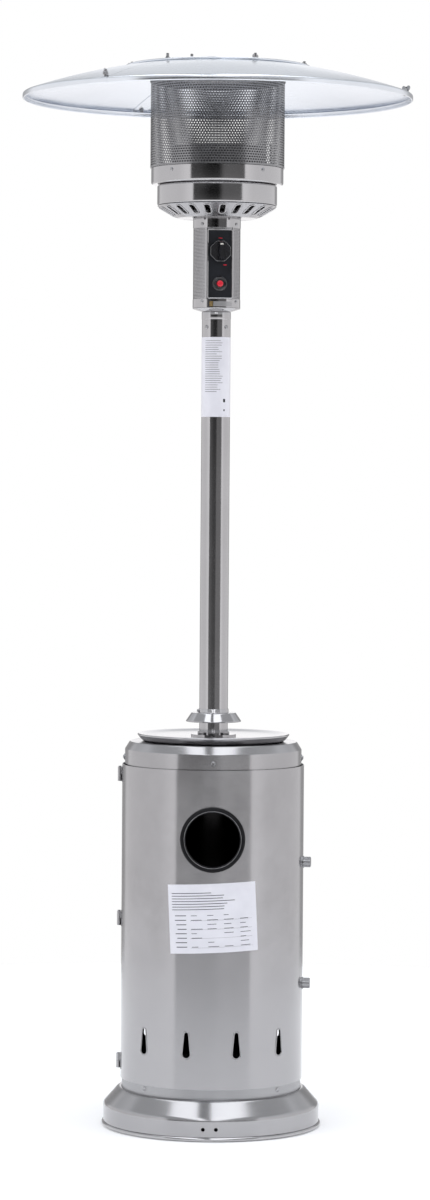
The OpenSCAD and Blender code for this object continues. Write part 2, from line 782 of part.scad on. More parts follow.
module upper_drum() {
    path = concat([[100, drum_mid_z + gap], [upper_drum_r - drum_round, drum_mid_z + gap]],
        arc([upper_drum_r - drum_round, drum_mid_z + gap + drum_round], drum_round, -72, 0, 4),
        [[upper_drum_r, drum_top_z]]);
    color([0.74, 0.75, 0.78]) difference() {
        union() {
            rotate_extrude() polygon(ribbon(path, drum_t));
            tube(upper_drum_r - 0.4, 97, drum_top_z - 2.2, drum_top_z - 0.8);
        }
        for (a = [-43, 43, 137, -137]) radial(a, drum_top_z - 9, 2.1, 100, 150);
    }
}

module drum_screws() {
    color([0.6, 0.61, 0.63]) for (a = [-43, 43, 137, -137])
        radial_screw(a, drum_top_z - 9, upper_drum_r, 3.6, 2.2, 2, 6);
    for (a = [-40, 40, 180]) at_az(a) translate([72, 0, head_top_z]) {
        translate([0, 0, -2.6]) cylinder(r = 4.4, h = 2.6);
        cylinder(r = 2, h = 8);
    }
}

// The tube that mixes gas and air under the burner
module burner_tube() {
    color([0.6, 0.58, 0.55]) rotate_extrude() polygon(ribbon(
        [[24, head_top_z + 4], [16, head_top_z + 22], [16, drum_top_z - 8], [20, burner_z]], 1.5));
}

module burner_head() {
    color([0.35, 0.36, 0.38]) difference() {
        union() {
            rotate_extrude() polygon(ribbon(concat([[19, burner_z + 0.2], [burner_r - 3, burner_z + 0.2]],
                [[burner_r, burner_z + 3], [burner_r, burner_z + 33], [burner_r - 3, burner_z + 36], [30, burner_z + 36]]), 1.2));
            rotate_extrude() polygon(ribbon([[95.5, drum_top_z - 0.8], [95.5, burner_z + 4]], 1.2));
        }
        for (i = [0:35]) radial(i * 10, burner_z + 24, 2.4, 60, 120);
    }
}

// Pilot tube, spark electrode and thermocouple beside the burner
module pilot_assembly() {
    color([0.7, 0.62, 0.5]) {
        at_az(55) {
            translate([112, -8, drum_top_z - 0.6]) cube([12, 16, 1.6]);
            translate([118, -4, drum_top_z + 1]) cylinder(r = 3, h = 44);
            translate([118, 4.5, drum_top_z + 1]) cylinder(r = 2, h = 52);
        }
        at_az(70) {
            translate([112, -4, drum_top_z - 0.6]) cube([12, 8, 1.6]);
            translate([118, 0, drum_top_z + 1]) cylinder(r = 2.4, h = 48);
        }
    }
}

// The glowing screen, drawn here as a plain sheet with its holes left out
module emitter_screen() {
    foot_w = 8;
    color([0.5, 0.48, 0.46]) union() {
        tube(screen_r, screen_r - 1, drum_top_z + gap, cap_z);
        tube(screen_r - 0.5, upper_drum_r - foot_w, drum_top_z + gap, drum_top_z + gap + 1.2);
    }
}

module emitter_cap() {
    color([0.6, 0.6, 0.61]) difference() {
        rotate_extrude() polygon(ribbon([[screen_r + 0.3, cap_z - 9], [screen_r + 1.5, cap_z - 9],
            [screen_r + 1.5, cap_z + 1.5], [10, cap_z + 1.5]], 1));
        for (a = stud_azs) at_az(a) translate([stud_circle_r, 0, cap_z - 5]) cylinder(r = stud_r, h = 20);
    }
}

// ---- reflector ----

// Height of the panels' upper face at radius r, a shallow convex rise to a flat land
function panel_z(r) = let (d = reflector_r - r)
    min(land_z + panel_steel, rim_z + hem_h + 0.341 * d - 0.000407 * d * d);

// A strip that follows the panels between two azimuths, offset below their upper face
module panel_strip(a0, a1, r0, r1, low, high) {
    steps = 9;
    radii = [for (i = [0:steps]) r1 + (r0 - r1) * i / steps];
    rotate([0, 0, a0 - 90]) rotate_extrude(angle = a1 - a0) polygon(concat(
        [for (r = radii) [r, panel_z(r) + high]],
        [for (i = [steps:-1:0]) [radii[i], panel_z(radii[i]) + low]]));
}

// One third of the dome: sheet, hem, bead and a joggled tongue under its neighbour
module reflector_panel(a0) {
    seam = 0.06;
    tongue = 4;
    a1 = a0 + 120;
    difference() {
        union() {
            panel_strip(a0 + seam, a1 - seam, land_r, reflector_r, -panel_steel, 0);
            arc_tube(reflector_r, reflector_r - panel_steel, rim_z, rim_z + hem_h - 0.2, a0 + seam, a1 - seam);
            rotate([0, 0, a0 + seam - 90]) rotate_extrude(angle = 120 - 2 * seam)
                translate([reflector_r - 2, rim_z + 1.5]) circle(r = 1.5);
            panel_strip(a0 + 0.4, a0 + 1.2, 205, reflector_r - 8, -2.2, -0.5);
            panel_strip(a0 - tongue, a0 + 0.8, 205, reflector_r - 8, -2.2, -1.15);
        }
        for (a = seam_azs) at_az(a - bolt_offset) translate([outer_bolt_r, 0, rim_z - 5]) cylinder(r = stud_r + 0.2, h = 60);
        for (a = inner_bolt_azs) at_az(a - bolt_offset) translate([inner_bolt_r, 0, land_z - 20]) cylinder(r = stud_r + 0.2, h = 60);
    }
}

module reflector_panel_left() { color([0.7, 0.74, 0.8]) reflector_panel(seam_az - 120); }
module reflector_panel_right() { color([0.72, 0.76, 0.82]) reflector_panel(seam_az); }
module reflector_panel_rear() { color([0.68, 0.72, 0.78]) reflector_panel(seam_az + 120); }

module reflector_disc() {
    edge_r = 2.4;
    color([0.75, 0.78, 0.83]) difference() {
        rotate_extrude() union() {
            translate([0, disc_z]) square([centre_disc_r - edge_r, 1.2]);
            translate([centre_disc_r - edge_r, disc_z + edge_r]) circle(r = edge_r);
        }
        for (a = inner_bolt_azs) at_az(a - bolt_offset) translate([inner_bolt_r, 0, disc_z - 5]) cylinder(r = stud_r + 0.2, h = 20);
        for (a = stud_azs) at_az(a) translate([stud_circle_r, 0, disc_z - 5]) cylinder(r = stud_r + 0.2, h = 20);
    }
}

// Bolts that hold the panels, their spacer tubes and the studs over the emitter
module reflector_bolts() {
    color([0.7, 0.71, 0.73]) {
        for (a = seam_azs) at_az(a - bolt_offset) translate([outer_bolt_r, 0, panel_z(outer_bolt_r)]) {
            translate([0, 0, -7]) cylinder(r = stud_r, h = 19);
            translate([0, 0, -7]) cylinder(r = 5, h = 2.4);
        }
        for (a = inner_bolt_azs) at_az(a - bolt_offset) translate([inner_bolt_r, 0, land_z]) {
            translate([0, 0, -3]) cylinder(r = stud_r, h = 20);
            translate([0, 0, -3]) cylinder(r = 5, h = 2.7);
        }
        for (a = stud_azs) at_az(a) translate([stud_circle_r, 0, cap_z]) {
            translate([0, 0, 0.5]) cylinder(r = stud_r, h = 38);
            translate([0, 0, 1.5]) cylinder(r = 6, h = disc_z - cap_z - 1.7);
        }
    }
}

module wing_nut() {
    wing_w = 11;
    difference() {
        union() {
            cylinder(r1 = 6, r2 = 4.8, h = 6);
            for (s = [-1, 1]) translate([s * wing_w * 0.72, 0, 7]) rotate([90, 0, 0]) {
                translate([0, 0, -1.1]) cylinder(r = 4.6, h = 2.2);
                translate([-s * 2.5 - 3.5, -5.5, -1.1]) cube([7, 6, 2.2]);
            }
        }
        translate([0, 0, -1]) cylinder(r = stud_r, h = 20);
    }
}

module wing_nuts() {
    turns = [25, -50, 70, 10, -20, 55];
    color([0.55, 0.56, 0.58]) {
        for (i = [0:len(seam_azs) - 1]) at_az(seam_azs[i] - bolt_offset)
            translate([outer_bolt_r, 0, panel_z(outer_bolt_r) + 2.4]) rotate([0, 0, turns[i]]) wing_nut();
        for (i = [0:len(inner_bolt_azs) - 1]) at_az(inner_bolt_azs[i] - bolt_offset)
            translate([inner_bolt_r, 0, disc_z + 1.3]) rotate([0, 0, turns[i]]) wing_nut();
        for (i = [0:len(stud_azs) - 1]) at_az(stud_azs[i])
            translate([stud_circle_r, 0, disc_z + 1.3]) rotate([0, 0, turns[i]]) wing_nut();
    }
}

base_pan();
base_shell();
support_legs();
leg_screws();
lower_ring();
housing_hoop();
rear_shell();
shell_screws();
door();
port_ring();
housing_label();
fixed_hinge_leaves();
door_hinge_leaves();
hinge_pins();
upper_turn_knob();
lower_turn_knob();
turn_knob_washers();
catch_plates();
tank_cover();
cover_screws();
cover_disc();
post_mount_plate();
flange_bolts();
escutcheon();
escutcheon_screw();
post();
post_label();
post_screws();
neck_adaptor();
head_base();
control_can();
perforated_wrap();
head_bands();
panel_frame();
control_panel();
head_screws();
control_knob();
valve_spindle();
gas_valve();
gas_pipe();
gas_inlet();
igniter_bezel();
igniter_button();
igniter_body();
air_bowl();
lower_drum();
upper_drum();
drum_screws();
burner_tube();
burner_head();
pilot_assembly();
emitter_screen();
emitter_cap();
reflector_panel_left();
reflector_panel_right();
reflector_panel_rear();
reflector_disc();
reflector_bolts();
wing_nuts();
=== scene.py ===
"""Looks of the free-standing gas patio heater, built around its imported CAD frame.

Lengths are millimetres in the shape code and become metres as each mesh is made.
The post's axis is X = Y = 0, the door faces -Y, and an azimuth is counted from -Y towards +X.
"""

import json
import math

import bmesh
import bpy
import numpy as np
from mathutils import Euler, Matrix, Vector


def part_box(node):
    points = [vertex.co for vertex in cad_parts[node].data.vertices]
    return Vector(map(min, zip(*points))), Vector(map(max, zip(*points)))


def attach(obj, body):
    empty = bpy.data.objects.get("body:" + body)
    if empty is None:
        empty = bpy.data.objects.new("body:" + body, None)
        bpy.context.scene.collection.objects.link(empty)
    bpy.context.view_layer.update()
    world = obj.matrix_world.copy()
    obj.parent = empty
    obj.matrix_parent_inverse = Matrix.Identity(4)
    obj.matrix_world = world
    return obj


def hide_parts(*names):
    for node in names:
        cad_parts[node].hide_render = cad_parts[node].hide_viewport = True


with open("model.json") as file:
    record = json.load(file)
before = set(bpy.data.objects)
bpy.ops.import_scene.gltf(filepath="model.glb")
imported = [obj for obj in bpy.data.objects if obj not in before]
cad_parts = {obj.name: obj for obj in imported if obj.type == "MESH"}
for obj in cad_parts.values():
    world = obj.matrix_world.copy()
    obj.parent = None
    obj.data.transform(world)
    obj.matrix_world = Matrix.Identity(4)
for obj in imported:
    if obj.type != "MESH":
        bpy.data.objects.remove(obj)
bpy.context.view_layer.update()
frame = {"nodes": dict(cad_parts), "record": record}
SLOT = {row["node"]: row["material_slot"] for row in frame["record"]["subparts"]}
MM = 0.001


# ---------------------------------------------------------------- shape helpers

def low(node):
    """Lowest corner of a CAD node, in millimetres."""
    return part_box(node)[0] / MM


def high(node):
    """Highest corner of a CAD node, in millimetres."""
    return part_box(node)[1] / MM


def radius(node):
    """Half the width of a CAD node, which is its outer radius if it's round about the post's axis."""
    a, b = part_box(node)
    return (b.x - a.x) / 2 / MM


def arc(centre, r, start, end, steps):
    """Points along an arc of the outline, angles in degrees."""
    angles = [math.radians(start + (end - start) * i / steps) for i in range(steps + 1)]
    return [(centre[0] + r * math.cos(a), centre[1] + r * math.sin(a)) for a in angles]


def ribbon(path, thickness):
    """A closed outline: the path, and the same path moved to its left by the sheet's thickness."""
    p = [Vector(q) for q in path]
    sides = []
    for i in range(len(p)):
        before = (p[i] - p[i - 1]).normalized() if i else None
        after = (p[i + 1] - p[i]).normalized() if i < len(p) - 1 else None
        before, after = before or after, after or before
        a, b = Vector((-before.y, before.x)), Vector((-after.y, after.x))
        sides.append(p[i] + thickness * (a + b) / max(1 + a.dot(b), 0.3))
    return [tuple(q) for q in p] + [tuple(q) for q in reversed(sides)]


def make_object(name, verts, faces, sharp=35):
    """A mesh object from millimetre points, smooth but for edges above the sharp angle."""
    mesh = bpy.data.meshes.new(name)
    mesh.from_pydata(np.asarray(verts, float) * MM, [], faces)
    work = bmesh.new()
    work.from_mesh(mesh)
    bmesh.ops.remove_doubles(work, verts=work.verts, dist=1e-7)
    bmesh.ops.recalc_face_normals(work, faces=work.faces)
    work.to_mesh(mesh)
    work.free()
    mesh.shade_smooth()
    mesh.set_sharp_from_angle(angle=math.radians(sharp))
    obj = bpy.data.objects.new(name, mesh)
    bpy.context.scene.collection.objects.link(obj)
    return obj


def skin(name, verts, n, closed, sharp=35):
    """A closed mesh through rings of n points each: a loop of rings, or a row capped at both ends."""
    rings = len(verts) // n
    faces = []
    for i in range(rings if closed else rings - 1):
        a, b = i * n, (i + 1) % rings * n
        faces += [(a + j, a + (j + 1) % n, b + (j + 1) % n, b + j) for j in range(n)]
    if not closed:
        faces.append(tuple(range(n)))
        faces.append(tuple(reversed(range((rings - 1) * n, rings * n))))
    return make_object(name, verts, faces, sharp)


def ring_points(outline, azimuths):
    """The outline's points turned to each azimuth, ring after ring."""
    out = np.asarray(outline, float)
    az = np.radians(np.asarray(azimuths, float))
    x = np.outer(np.sin(az), out[:, 0])
    y = -np.outer(np.cos(az), out[:, 0])
    z = np.tile(out[:, 1], (len(az), 1))
    return np.stack([x, y, z], -1).reshape(-1, 3)


def lathe(name, outline, start=0.0, end=360.0, steps=240, sharp=40):
    """Turns a closed outline of (radius, height) points about the post's axis."""
    whole = end - start >= 360
    azimuths = np.linspace(start, end, steps + 1)[: steps if whole else steps + 1]
    return skin(name, ring_points(outline, azimuths), len(outline), whole, sharp)


def spin_x(name, outline, steps):
    """Turns a row of (distance along X, radius) points about local X.

    The row ends where it starts, or both of its ends lie on the axis.
    """
    n = len(outline)
    verts, faces = [], []
    for i in range(steps):
        angle = 2 * math.pi * i / steps
        verts += [(x, r * math.cos(angle), r * math.sin(angle)) for x, r in outline]
        a, b = i * n, (i + 1) % steps * n
        faces += [(a + j, a + j + 1, b + j + 1, b + j) for j in range(n - 1)]
    return make_object(name, verts, faces)


def taper(name, outline, levels, sharp=35):
    """A closed solid: the Y-Z outline, scaled by its share at each (distance along X, share)."""
    verts = [(x, y * share, z * share) for x, share in levels for y, z in outline]
    return skin(name, verts, len(outline), False, sharp)


def prism(name, outline, depth):
    """A closed slab: the outline lies in local Y-Z and runs along local X from 0 to depth."""
    return taper(name, outline, ((0, 1.0), (depth, 1.0)))


def tube_along(name, points, r, sides=8):
    """A closed tube along a closed loop of points."""
    p = [Vector(q) for q in points]
    n = len(p)
    normal = sum((p[i].cross(p[(i + 1) % n]) for i in range(n)), Vector()).normalized()
    verts = []
    for i in range(n):
        along = (p[(i + 1) % n] - p[i - 1]).normalized()
        out = along.cross(normal).normalized()
        for j in range(sides):
            a = 2 * math.pi * j / sides
            verts.append(tuple(p[i] + r * (math.cos(a) * out + math.sin(a) * normal)))
    return skin(name, verts, sides, True, 180)


def at_azimuth(obj, azimuth, r, z):
    """Stands an object, whose +X points outward, at an azimuth, radius and height in millimetres."""
    turn = Matrix.Rotation(math.radians(azimuth - 90), 4, "Z")
    obj.data.transform(turn @ Matrix.Translation(Vector((r, 0, z)) * MM))
    return obj


def join(name, objects):
    """Joins separate closed meshes into one piece."""
    work = bmesh.new()
    for o in objects:
        work.from_mesh(o.data)
    mesh = bpy.data.meshes.new(name)
    work.to_mesh(mesh)
    work.free()
    for o in objects:
        old = o.data
        bpy.data.objects.remove(o)
        bpy.data.meshes.remove(old)
    obj = bpy.data.objects.new(name, mesh)
    bpy.context.scene.collection.objects.link(obj)
    return obj


def cut(obj, cutters):
    """Cuts holes through a piece with closed cutter meshes, for good."""
    tool = join(obj.name + "_cutter", cutters)
    holes = obj.modifiers.new("holes", "BOOLEAN")
    holes.operation = "DIFFERENCE"
    holes.solver = "EXACT"
    holes.object = tool
    evaluated = obj.evaluated_get(bpy.context.evaluated_depsgraph_get())
    result = bpy.data.meshes.new_from_object(evaluated)
    obj.modifiers.clear()
    old = obj.data
    obj.data = result
    result.name = obj.name
    bpy.data.meshes.remove(old)
    bpy.data.objects.remove(tool)
    result.shade_smooth()
    result.set_sharp_from_angle(angle=math.radians(30))


# ---------------------------------------------------------------- material helpers

class Tree:
    """Short hand for building a node tree."""

    def __init__(self, tree):
        self.tree = tree

    def add(self, kind, **values):
        node = self.tree.nodes.new(kind)
        for key, value in values.items():
            setattr(node, key, value)
        return node

    def link(self, a, b):
        self.tree.links.new(a, b)

    def feed(self, socket, value):
        """Gives a socket another node's output, a colour or a number."""
        if hasattr(value, "links"):
            self.link(value, socket)
        elif isinstance(value, tuple):
            socket.default_value = (*value, 1.0)
        else:
            socket.default_value = value

    def math(self, kind, a, b=None):
        node = self.add("ShaderNodeMath", operation=kind)
        self.feed(node.inputs[0], a)
        if b is not None:
            self.feed(node.inputs[1], b)
        return node.outputs[0]

    def split(self, vector):
        node = self.add("ShaderNodeSeparateXYZ")
        self.link(vector, node.inputs[0])
        return node.outputs

    def ramp(self, value, before, after, start=0.3, end=0.7, shape="LINEAR"):
        """Goes from before, where the value is at start, to after, where it is at end."""
        node = self.add("ShaderNodeMapRange", interpolation_type=shape)
        self.link(value, node.inputs["Value"])
        self.feed(node.inputs["From Min"], start)
        self.feed(node.inputs["From Max"], end)
        self.feed(node.inputs["To Min"], before)
        self.feed(node.inputs["To Max"], after)
        return node.outputs[0]

    def step(self, value, start, end, before=0.0, after=1.0):
        """As ramp, with smooth ends."""
        return self.ramp(value, before, after, start, end, "SMOOTHSTEP")

    def between(self, share, a, b):
        """a where the share is 0, b where it is 1."""
        return self.step(share, 0.0, 1.0, a, b)

    def band(self, value, start, full, fade, end):
        """1 from full to fade, and 0 before start and after end."""
        return self.math("MULTIPLY", self.step(value, start, full), self.step(value, fade, end, 1.0, 0.0))

    def blend(self, factor, a, b):
        """Colour a where the factor is 0, colour b where it is 1."""
        node = self.add("ShaderNodeMix", data_type="RGBA")
        self.link(factor, node.inputs["Factor"])
        self.feed(node.inputs["A"], a)
        self.feed(node.inputs["B"], b)
        return node.outputs["Result"]


class Surface(Tree):
    """A new material, and short hand for building its node tree."""

    def __init__(self, name):
        self.material = bpy.data.materials.new(name)
        self.material.use_nodes = True
        super().__init__(self.material.node_tree)
        self.shader = next(n for n in self.tree.nodes if n.type == "BSDF_PRINCIPLED")

    def set(self, **values):
        for key, value in values.items():
            self.shader.inputs[key.replace("_", " ")].default_value = value

    def drive(self, **outputs):
        for key, output in outputs.items():
            self.link(output, self.shader.inputs[key.replace("_", " ")])

    def place(self):
        return self.add("ShaderNodeTexCoord").outputs["Object"]

    def around(self, ring_scale, height_scale):
        """A coordinate unrolled round the post's axis: angle, radius and height, each scaled."""
        x, y, z = self.split(self.place())
        angle = self.math("ARCTAN2", x, self.math("MULTIPLY", y, -1.0))
        square = self.math("ADD", self.math("MULTIPLY", x, x), self.math("MULTIPLY", y, y))
        unrolled = self.add("ShaderNodeCombineXYZ")
        self.link(self.math("MULTIPLY", angle, ring_scale), unrolled.inputs[0])
        self.link(self.math("MULTIPLY", self.math("SQRT", square), height_scale), unrolled.inputs[1])
        self.link(self.math("MULTIPLY", z, height_scale), unrolled.inputs[2])
        return unrolled.outputs[0]

    def facing_axis(self):
        """1 on faces that look towards the post's axis, 0 on those that look away from it."""
        flat = self.add("ShaderNodeVectorMath", operation="MULTIPLY")
        self.link(self.place(), flat.inputs[0])
        flat.inputs[1].default_value = (1.0, 1.0, 0.0)
        outward = self.add("ShaderNodeVectorMath", operation="NORMALIZE")
        self.link(flat.outputs[0], outward.inputs[0])
        facing = self.add("ShaderNodeVectorMath", operation="DOT_PRODUCT")
        self.link(outward.outputs[0], facing.inputs[0])
        self.link(self.add("ShaderNodeNewGeometry").outputs["True Normal"], facing.inputs[1])
        return self.ramp(facing.outputs["Value"], 1.0, 0.0, start=-0.6, end=-0.3)

    def noise(self, scale, detail, vector=None):
        node = self.add("ShaderNodeTexNoise")
        node.inputs["Scale"].default_value = scale
        node.inputs["Detail"].default_value = detail
        node.inputs["Roughness"].default_value = 0.55
        self.link(vector or self.place(), node.inputs["Vector"])
        return node.outputs["Fac"]

    def bump(self, height, strength, distance):
        node = self.add("ShaderNodeBump")
        node.inputs["Strength"].default_value = strength
        node.inputs["Distance"].default_value = distance
        self.link(height, node.inputs["Height"])
        return node.outputs[0]


def steel(name, dark, light, rough, grain, streaks=0.0, anisotropic=0.0, inside_shade=1.0):
    """Rolled sheet metal: fine grain round the axis, faint streaks and smudges.

    Faces that look towards the post's axis get painted shade, for the shadow inside the housing: the dark
    colour times the given share.
    """
    surface = Surface(name)
    surface.set(Metallic=1.0, Anisotropic=anisotropic)
    fine = surface.noise(1.0, 2.0, surface.around(ring_scale=6.0, height_scale=2600.0))
    wave = surface.noise(1.0, 2.0, surface.around(ring_scale=9.0, height_scale=1.6))
    smudge = surface.noise(scale=9.0, detail=4.0)
    colour = surface.blend(surface.ramp(smudge, 0.0, 1.0), dark, light)
    # Painted shade: faces towards the axis are darkened to stand in for the shadow inside the housing.
    if inside_shade < 1.0:
        colour = surface.blend(surface.facing_axis(), colour, tuple(c * inside_shade for c in dark))
    mottle = surface.ramp(smudge, rough * 0.82, rough * 1.2)
    level = surface.math("ADD", mottle, surface.ramp(fine, -grain, grain))
    ripple = surface.math("MULTIPLY", wave, streaks)
    height = surface.math("ADD", surface.math("MULTIPLY", fine, 0.02), ripple)
    relief = surface.bump(height, strength=0.5, distance=0.0006)
    surface.drive(Base_Color=colour, Roughness=level, Normal=relief)
    if anisotropic:
        tangent = surface.add("ShaderNodeTangent", direction_type="RADIAL", axis="Z")
        surface.drive(Tangent=tangent.outputs[0])
        surface.set(Anisotropic_Rotation=0.25)
    return surface.material


def moulded(name, dark, light, rough, scale, bump, coat=0.0, shine=0.5):
    """A moulded surface with a fine texture and slight colour variation."""
    surface = Surface(name)
    surface.set(Metallic=0.0, Coat_Weight=coat, Coat_Roughness=0.12, Specular_IOR_Level=shine)
    patch = surface.noise(scale=26.0, detail=3.0)
    fine = surface.noise(scale, detail=2.0)
    surface.drive(
        Base_Color=surface.blend(surface.ramp(patch, 0.0, 1.0), dark, light),
        Roughness=surface.ramp(fine, rough * 0.85, rough * 1.15),
        Normal=surface.bump(fine, bump, distance=0.0002),
    )
    return surface.material


MATERIALS = {
    "steel_brushed": steel(
        "brushed_steel", (0.40, 0.395, 0.405), (0.44, 0.435, 0.445),
        rough=0.19, grain=0.03, streaks=0.12, anisotropic=0.8, inside_shade=0.12),
    "steel_polished": steel(
        "polished_steel", (0.46, 0.455, 0.465), (0.50, 0.495, 0.505),
        rough=0.11, grain=0.02, streaks=0.2),
    "steel_plain": steel(
        "plain_steel", (0.34, 0.34, 0.35), (0.44, 0.44, 0.45), rough=0.38, grain=0.05),
    "fastener_steel": steel(
        "fastener_steel", (0.28, 0.28, 0.29), (0.42, 0.42, 0.43), rough=0.24, grain=0.03),
    "burner_steel": steel(
        "burner_steel", (0.10, 0.10, 0.11), (0.17, 0.17, 0.18), rough=0.34, grain=0.05),
    "emitter_steel": steel(
        "emitter_steel", (0.24, 0.24, 0.25), (0.32, 0.32, 0.33), rough=0.24, grain=0.05, streaks=0.3),
    "reflector_aluminium": steel(
        "satin_aluminium", (0.77, 0.80, 0.85), (0.82, 0.85, 0.90), rough=0.22, grain=0.04, streaks=0.3),
    "black_rubber": moulded(
        "black_rubber", (0.004, 0.004, 0.005), (0.010, 0.010, 0.012),
        rough=0.42, scale=900.0, bump=0.4, shine=0.16),
    "black_panel": moulded(
        "black_panel", (0.010, 0.011, 0.014), (0.018, 0.020, 0.025),
        rough=0.36, scale=1400.0, bump=0.25, shine=0.2),
    "black_plastic": moulded(
        "black_plastic", (0.006, 0.006, 0.008), (0.014, 0.014, 0.017),
        rough=0.22, scale=700.0, bump=0.15, coat=0.4),
    "red_plastic": moulded(
        "red_plastic", (0.60, 0.012, 0.030), (0.74, 0.02, 0.045),
        rough=0.25, scale=700.0, bump=0.12, coat=0.4),
    "label_film": moulded(
        "label_film", (0.70, 0.70, 0.76), (0.76, 0.76, 0.82), rough=0.32, scale=500.0, bump=0.06, coat=0.3),
    "brass_plain": steel(
        "brass_plain", (0.60, 0.42, 0.18), (0.72, 0.53, 0.26), rough=0.25, grain=0.05),
    "white_ceramic": moulded(
        "white_ceramic", (0.72, 0.70, 0.64), (0.8, 0.79, 0.74), rough=0.35, scale=300.0, bump=0.1),
}


def finish_piece(obj, body, slot, *nodes):
    """Gives a piece its material and body, and the CAD nodes that it stands for."""
    obj.data.materials.clear()
    obj.data.materials.append(MATERIALS[slot])
    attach(obj, body)
    if nodes:
        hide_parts(*nodes)


for name, slot in SLOT.items():
    materials = frame["nodes"][name].data.materials
    materials.clear()
    materials.append(MATERIALS[slot])


# ---------------------------------------------------------------- camera, light and floor

def make_camera():
    """The photo's viewpoint: metres and degrees, the lens and sensor in millimetres."""
    distance, eye, lens, sensor = 7.8, 1.347, 111.84, 36.0
    pitch, roll, yaw = 1.81, 0.40, -0.01
    data = bpy.data.cameras.new("camera")
    data.lens, data.sensor_width = lens, sensor
    data.clip_start, data.clip_end = 0.05, 60
    camera = bpy.data.objects.new("camera", data)
    bpy.context.scene.collection.objects.link(camera)
    aim = Euler((math.radians(90 - pitch), 0, math.radians(yaw))).to_matrix().to_4x4()
    lean = Matrix.Rotation(math.radians(roll), 4, "Z")
    camera.matrix_world = Matrix.Translation((0, -distance, eye)) @ aim @ lean
    bpy.context.scene.camera = camera


# The studio goes by direction: degrees round from the front, and the upward part z of the unit direction
OPENING_MIDDLE, OPENING_HALF = 1.0, 48.0
BACK_START, BACK_FULL = 173, 177
CEILING = 0.58


def wall_light(sky, z, from_front, from_opening):
    """Grey walls: brighter beside the opening and straight behind, dimmer high up behind and to its sides."""
    beside, plain, high_behind, aside, behind = 1.12, 0.93, 0.62, 0.45, 1.25
    walls = sky.step(from_opening, OPENING_HALF, OPENING_HALF + 28, beside, plain)
    high_back = sky.math("MULTIPLY", sky.step(z, 0.16, 0.5), sky.step(from_front, 110, 150))
    walls = sky.between(high_back, walls, high_behind)
    sideways = sky.band(from_front, 138, 156, BACK_START, BACK_FULL)
    level_with = sky.band(z, -0.2, -0.12, 0.3, 0.4)
    dimming = sky.between(sky.math("MULTIPLY", sideways, level_with), 1.0, aside)
    walls = sky.math("MULTIPLY", walls, dimming)
    return sky.math("MULTIPLY", walls, sky.step(from_front, BACK_START, BACK_FULL, 1.0, behind))


def opening_light(sky, z, degrees):
    """The dark opening in front: some light at its left and right, and the floor's glow low down."""
    left, right, floor, far_floor, over_floor = 0.07, 0.16, 0.9, 0.1, 0.05
    room = sky.math("ADD", sky.step(degrees, -40, -10, left, 0.0), sky.step(degrees, 2, 14, 0.0, right))
    low_glow = sky.step(z, -0.165, -0.075, floor, far_floor)
    glow = sky.math("MULTIPLY", low_glow, sky.step(z, -0.02, 0.06, 1.0, over_floor))
    return sky.math("ADD", room, glow)


def ceiling_light(sky, x, y, z):
    """A flat ceiling with two softboxes that run from front to back, and a dim gap between them."""
    softbox, gap, gap_middle, boxes_middle = 2.2, 0.4, -0.085, -0.03
    above = sky.math("MAXIMUM", z, 0.2)
    across, along = sky.math("DIVIDE", x, above), sky.math("DIVIDE", y, above)
    from_middle = sky.math("ABSOLUTE", sky.math("SUBTRACT", across, boxes_middle))
    from_gap = sky.math("ABSOLUTE", sky.math("SUBTRACT", across, gap_middle))
    boxes = sky.step(from_middle, 0.48, 0.53, softbox, CEILING)
    boxes = sky.between(sky.step(from_gap, 0.07, 0.095), gap, boxes)
    return sky.between(sky.band(along, -3.4, -3.0, 0.5, 0.7), CEILING, boxes)


def make_world():
    """The studio as the metal sees it: grey walls, a dark opening in front, two softboxes overhead.

    The camera itself sees a plain white backdrop.
    """
    world = bpy.data.worlds.new("studio")
    bpy.context.scene.world = world
    world.use_nodes = True
    sky = Tree(world.node_tree)
    x, y, z = sky.split(sky.add("ShaderNodeTexCoord").outputs["Generated"])
    turn = sky.math("ARCTAN2", x, sky.math("MULTIPLY", y, -1.0))
    degrees = sky.math("MULTIPLY", turn, 180 / math.pi)
    from_front = sky.math("ABSOLUTE", degrees)
    from_opening = sky.math("ABSOLUTE", sky.math("SUBTRACT", degrees, OPENING_MIDDLE))

    walls = wall_light(sky, z, from_front, from_opening)
    opening = opening_light(sky, z, degrees)
    sides = sky.step(from_opening, OPENING_HALF - 1, OPENING_HALF + 1, opening, walls)
    ceiling_foot = sky.step(from_opening, OPENING_HALF - 3, OPENING_HALF + 12, 0.16, 0.58)
    overhead = sky.step(sky.math("SUBTRACT", z, ceiling_foot), 0.0, 0.05)
    back = sky.tree.nodes["Background"]
    sky.link(sky.between(overhead, sides, ceiling_light(sky, x, y, z)), back.inputs["Strength"])
    tint = sky.blend(sky.step(z, 0.0, 0.5), (1.0, 0.99, 1.0), (0.95, 0.97, 1.0))
    sky.link(tint, back.inputs["Color"])

    plain = sky.add("ShaderNodeBackground")
    plain.inputs["Color"].default_value = (1.0, 1.0, 1.0, 1.0)
    plain.inputs["Strength"].default_value = 1.0
    choose = sky.add("ShaderNodeMixShader")
    sky.link(sky.add("ShaderNodeLightPath").outputs["Is Camera Ray"], choose.inputs["Fac"])
    sky.link(back.outputs[0], choose.inputs[1])
    sky.link(plain.outputs[0], choose.inputs[2])
    sky.link(choose.outputs[0], sky.tree.nodes["World Output"].inputs["Surface"])


def make_floor():
    """A pale round floor, in metres, a little under the heater's foot."""
    reach, drop = 2.6, 0.0006
    bpy.ops.mesh.primitive_circle_add(vertices=128, radius=reach, fill_type="NGON", location=(0, 0, -drop))
    floor = bpy.context.object
    floor.name = "floor"
    surface = Surface("pale_floor")
    surface.set(Roughness=0.9, Emission_Color=(1, 1, 1, 1), Emission_Strength=0.08)
    speck = surface.ramp(surface.noise(scale=60.0, detail=3.0), 0.0, 1.0)
    surface.drive(Base_Color=surface.blend(speck, (0.93, 0.93, 0.94), (0.95, 0.95, 0.96)))
    floor.data.materials.append(surface.material)


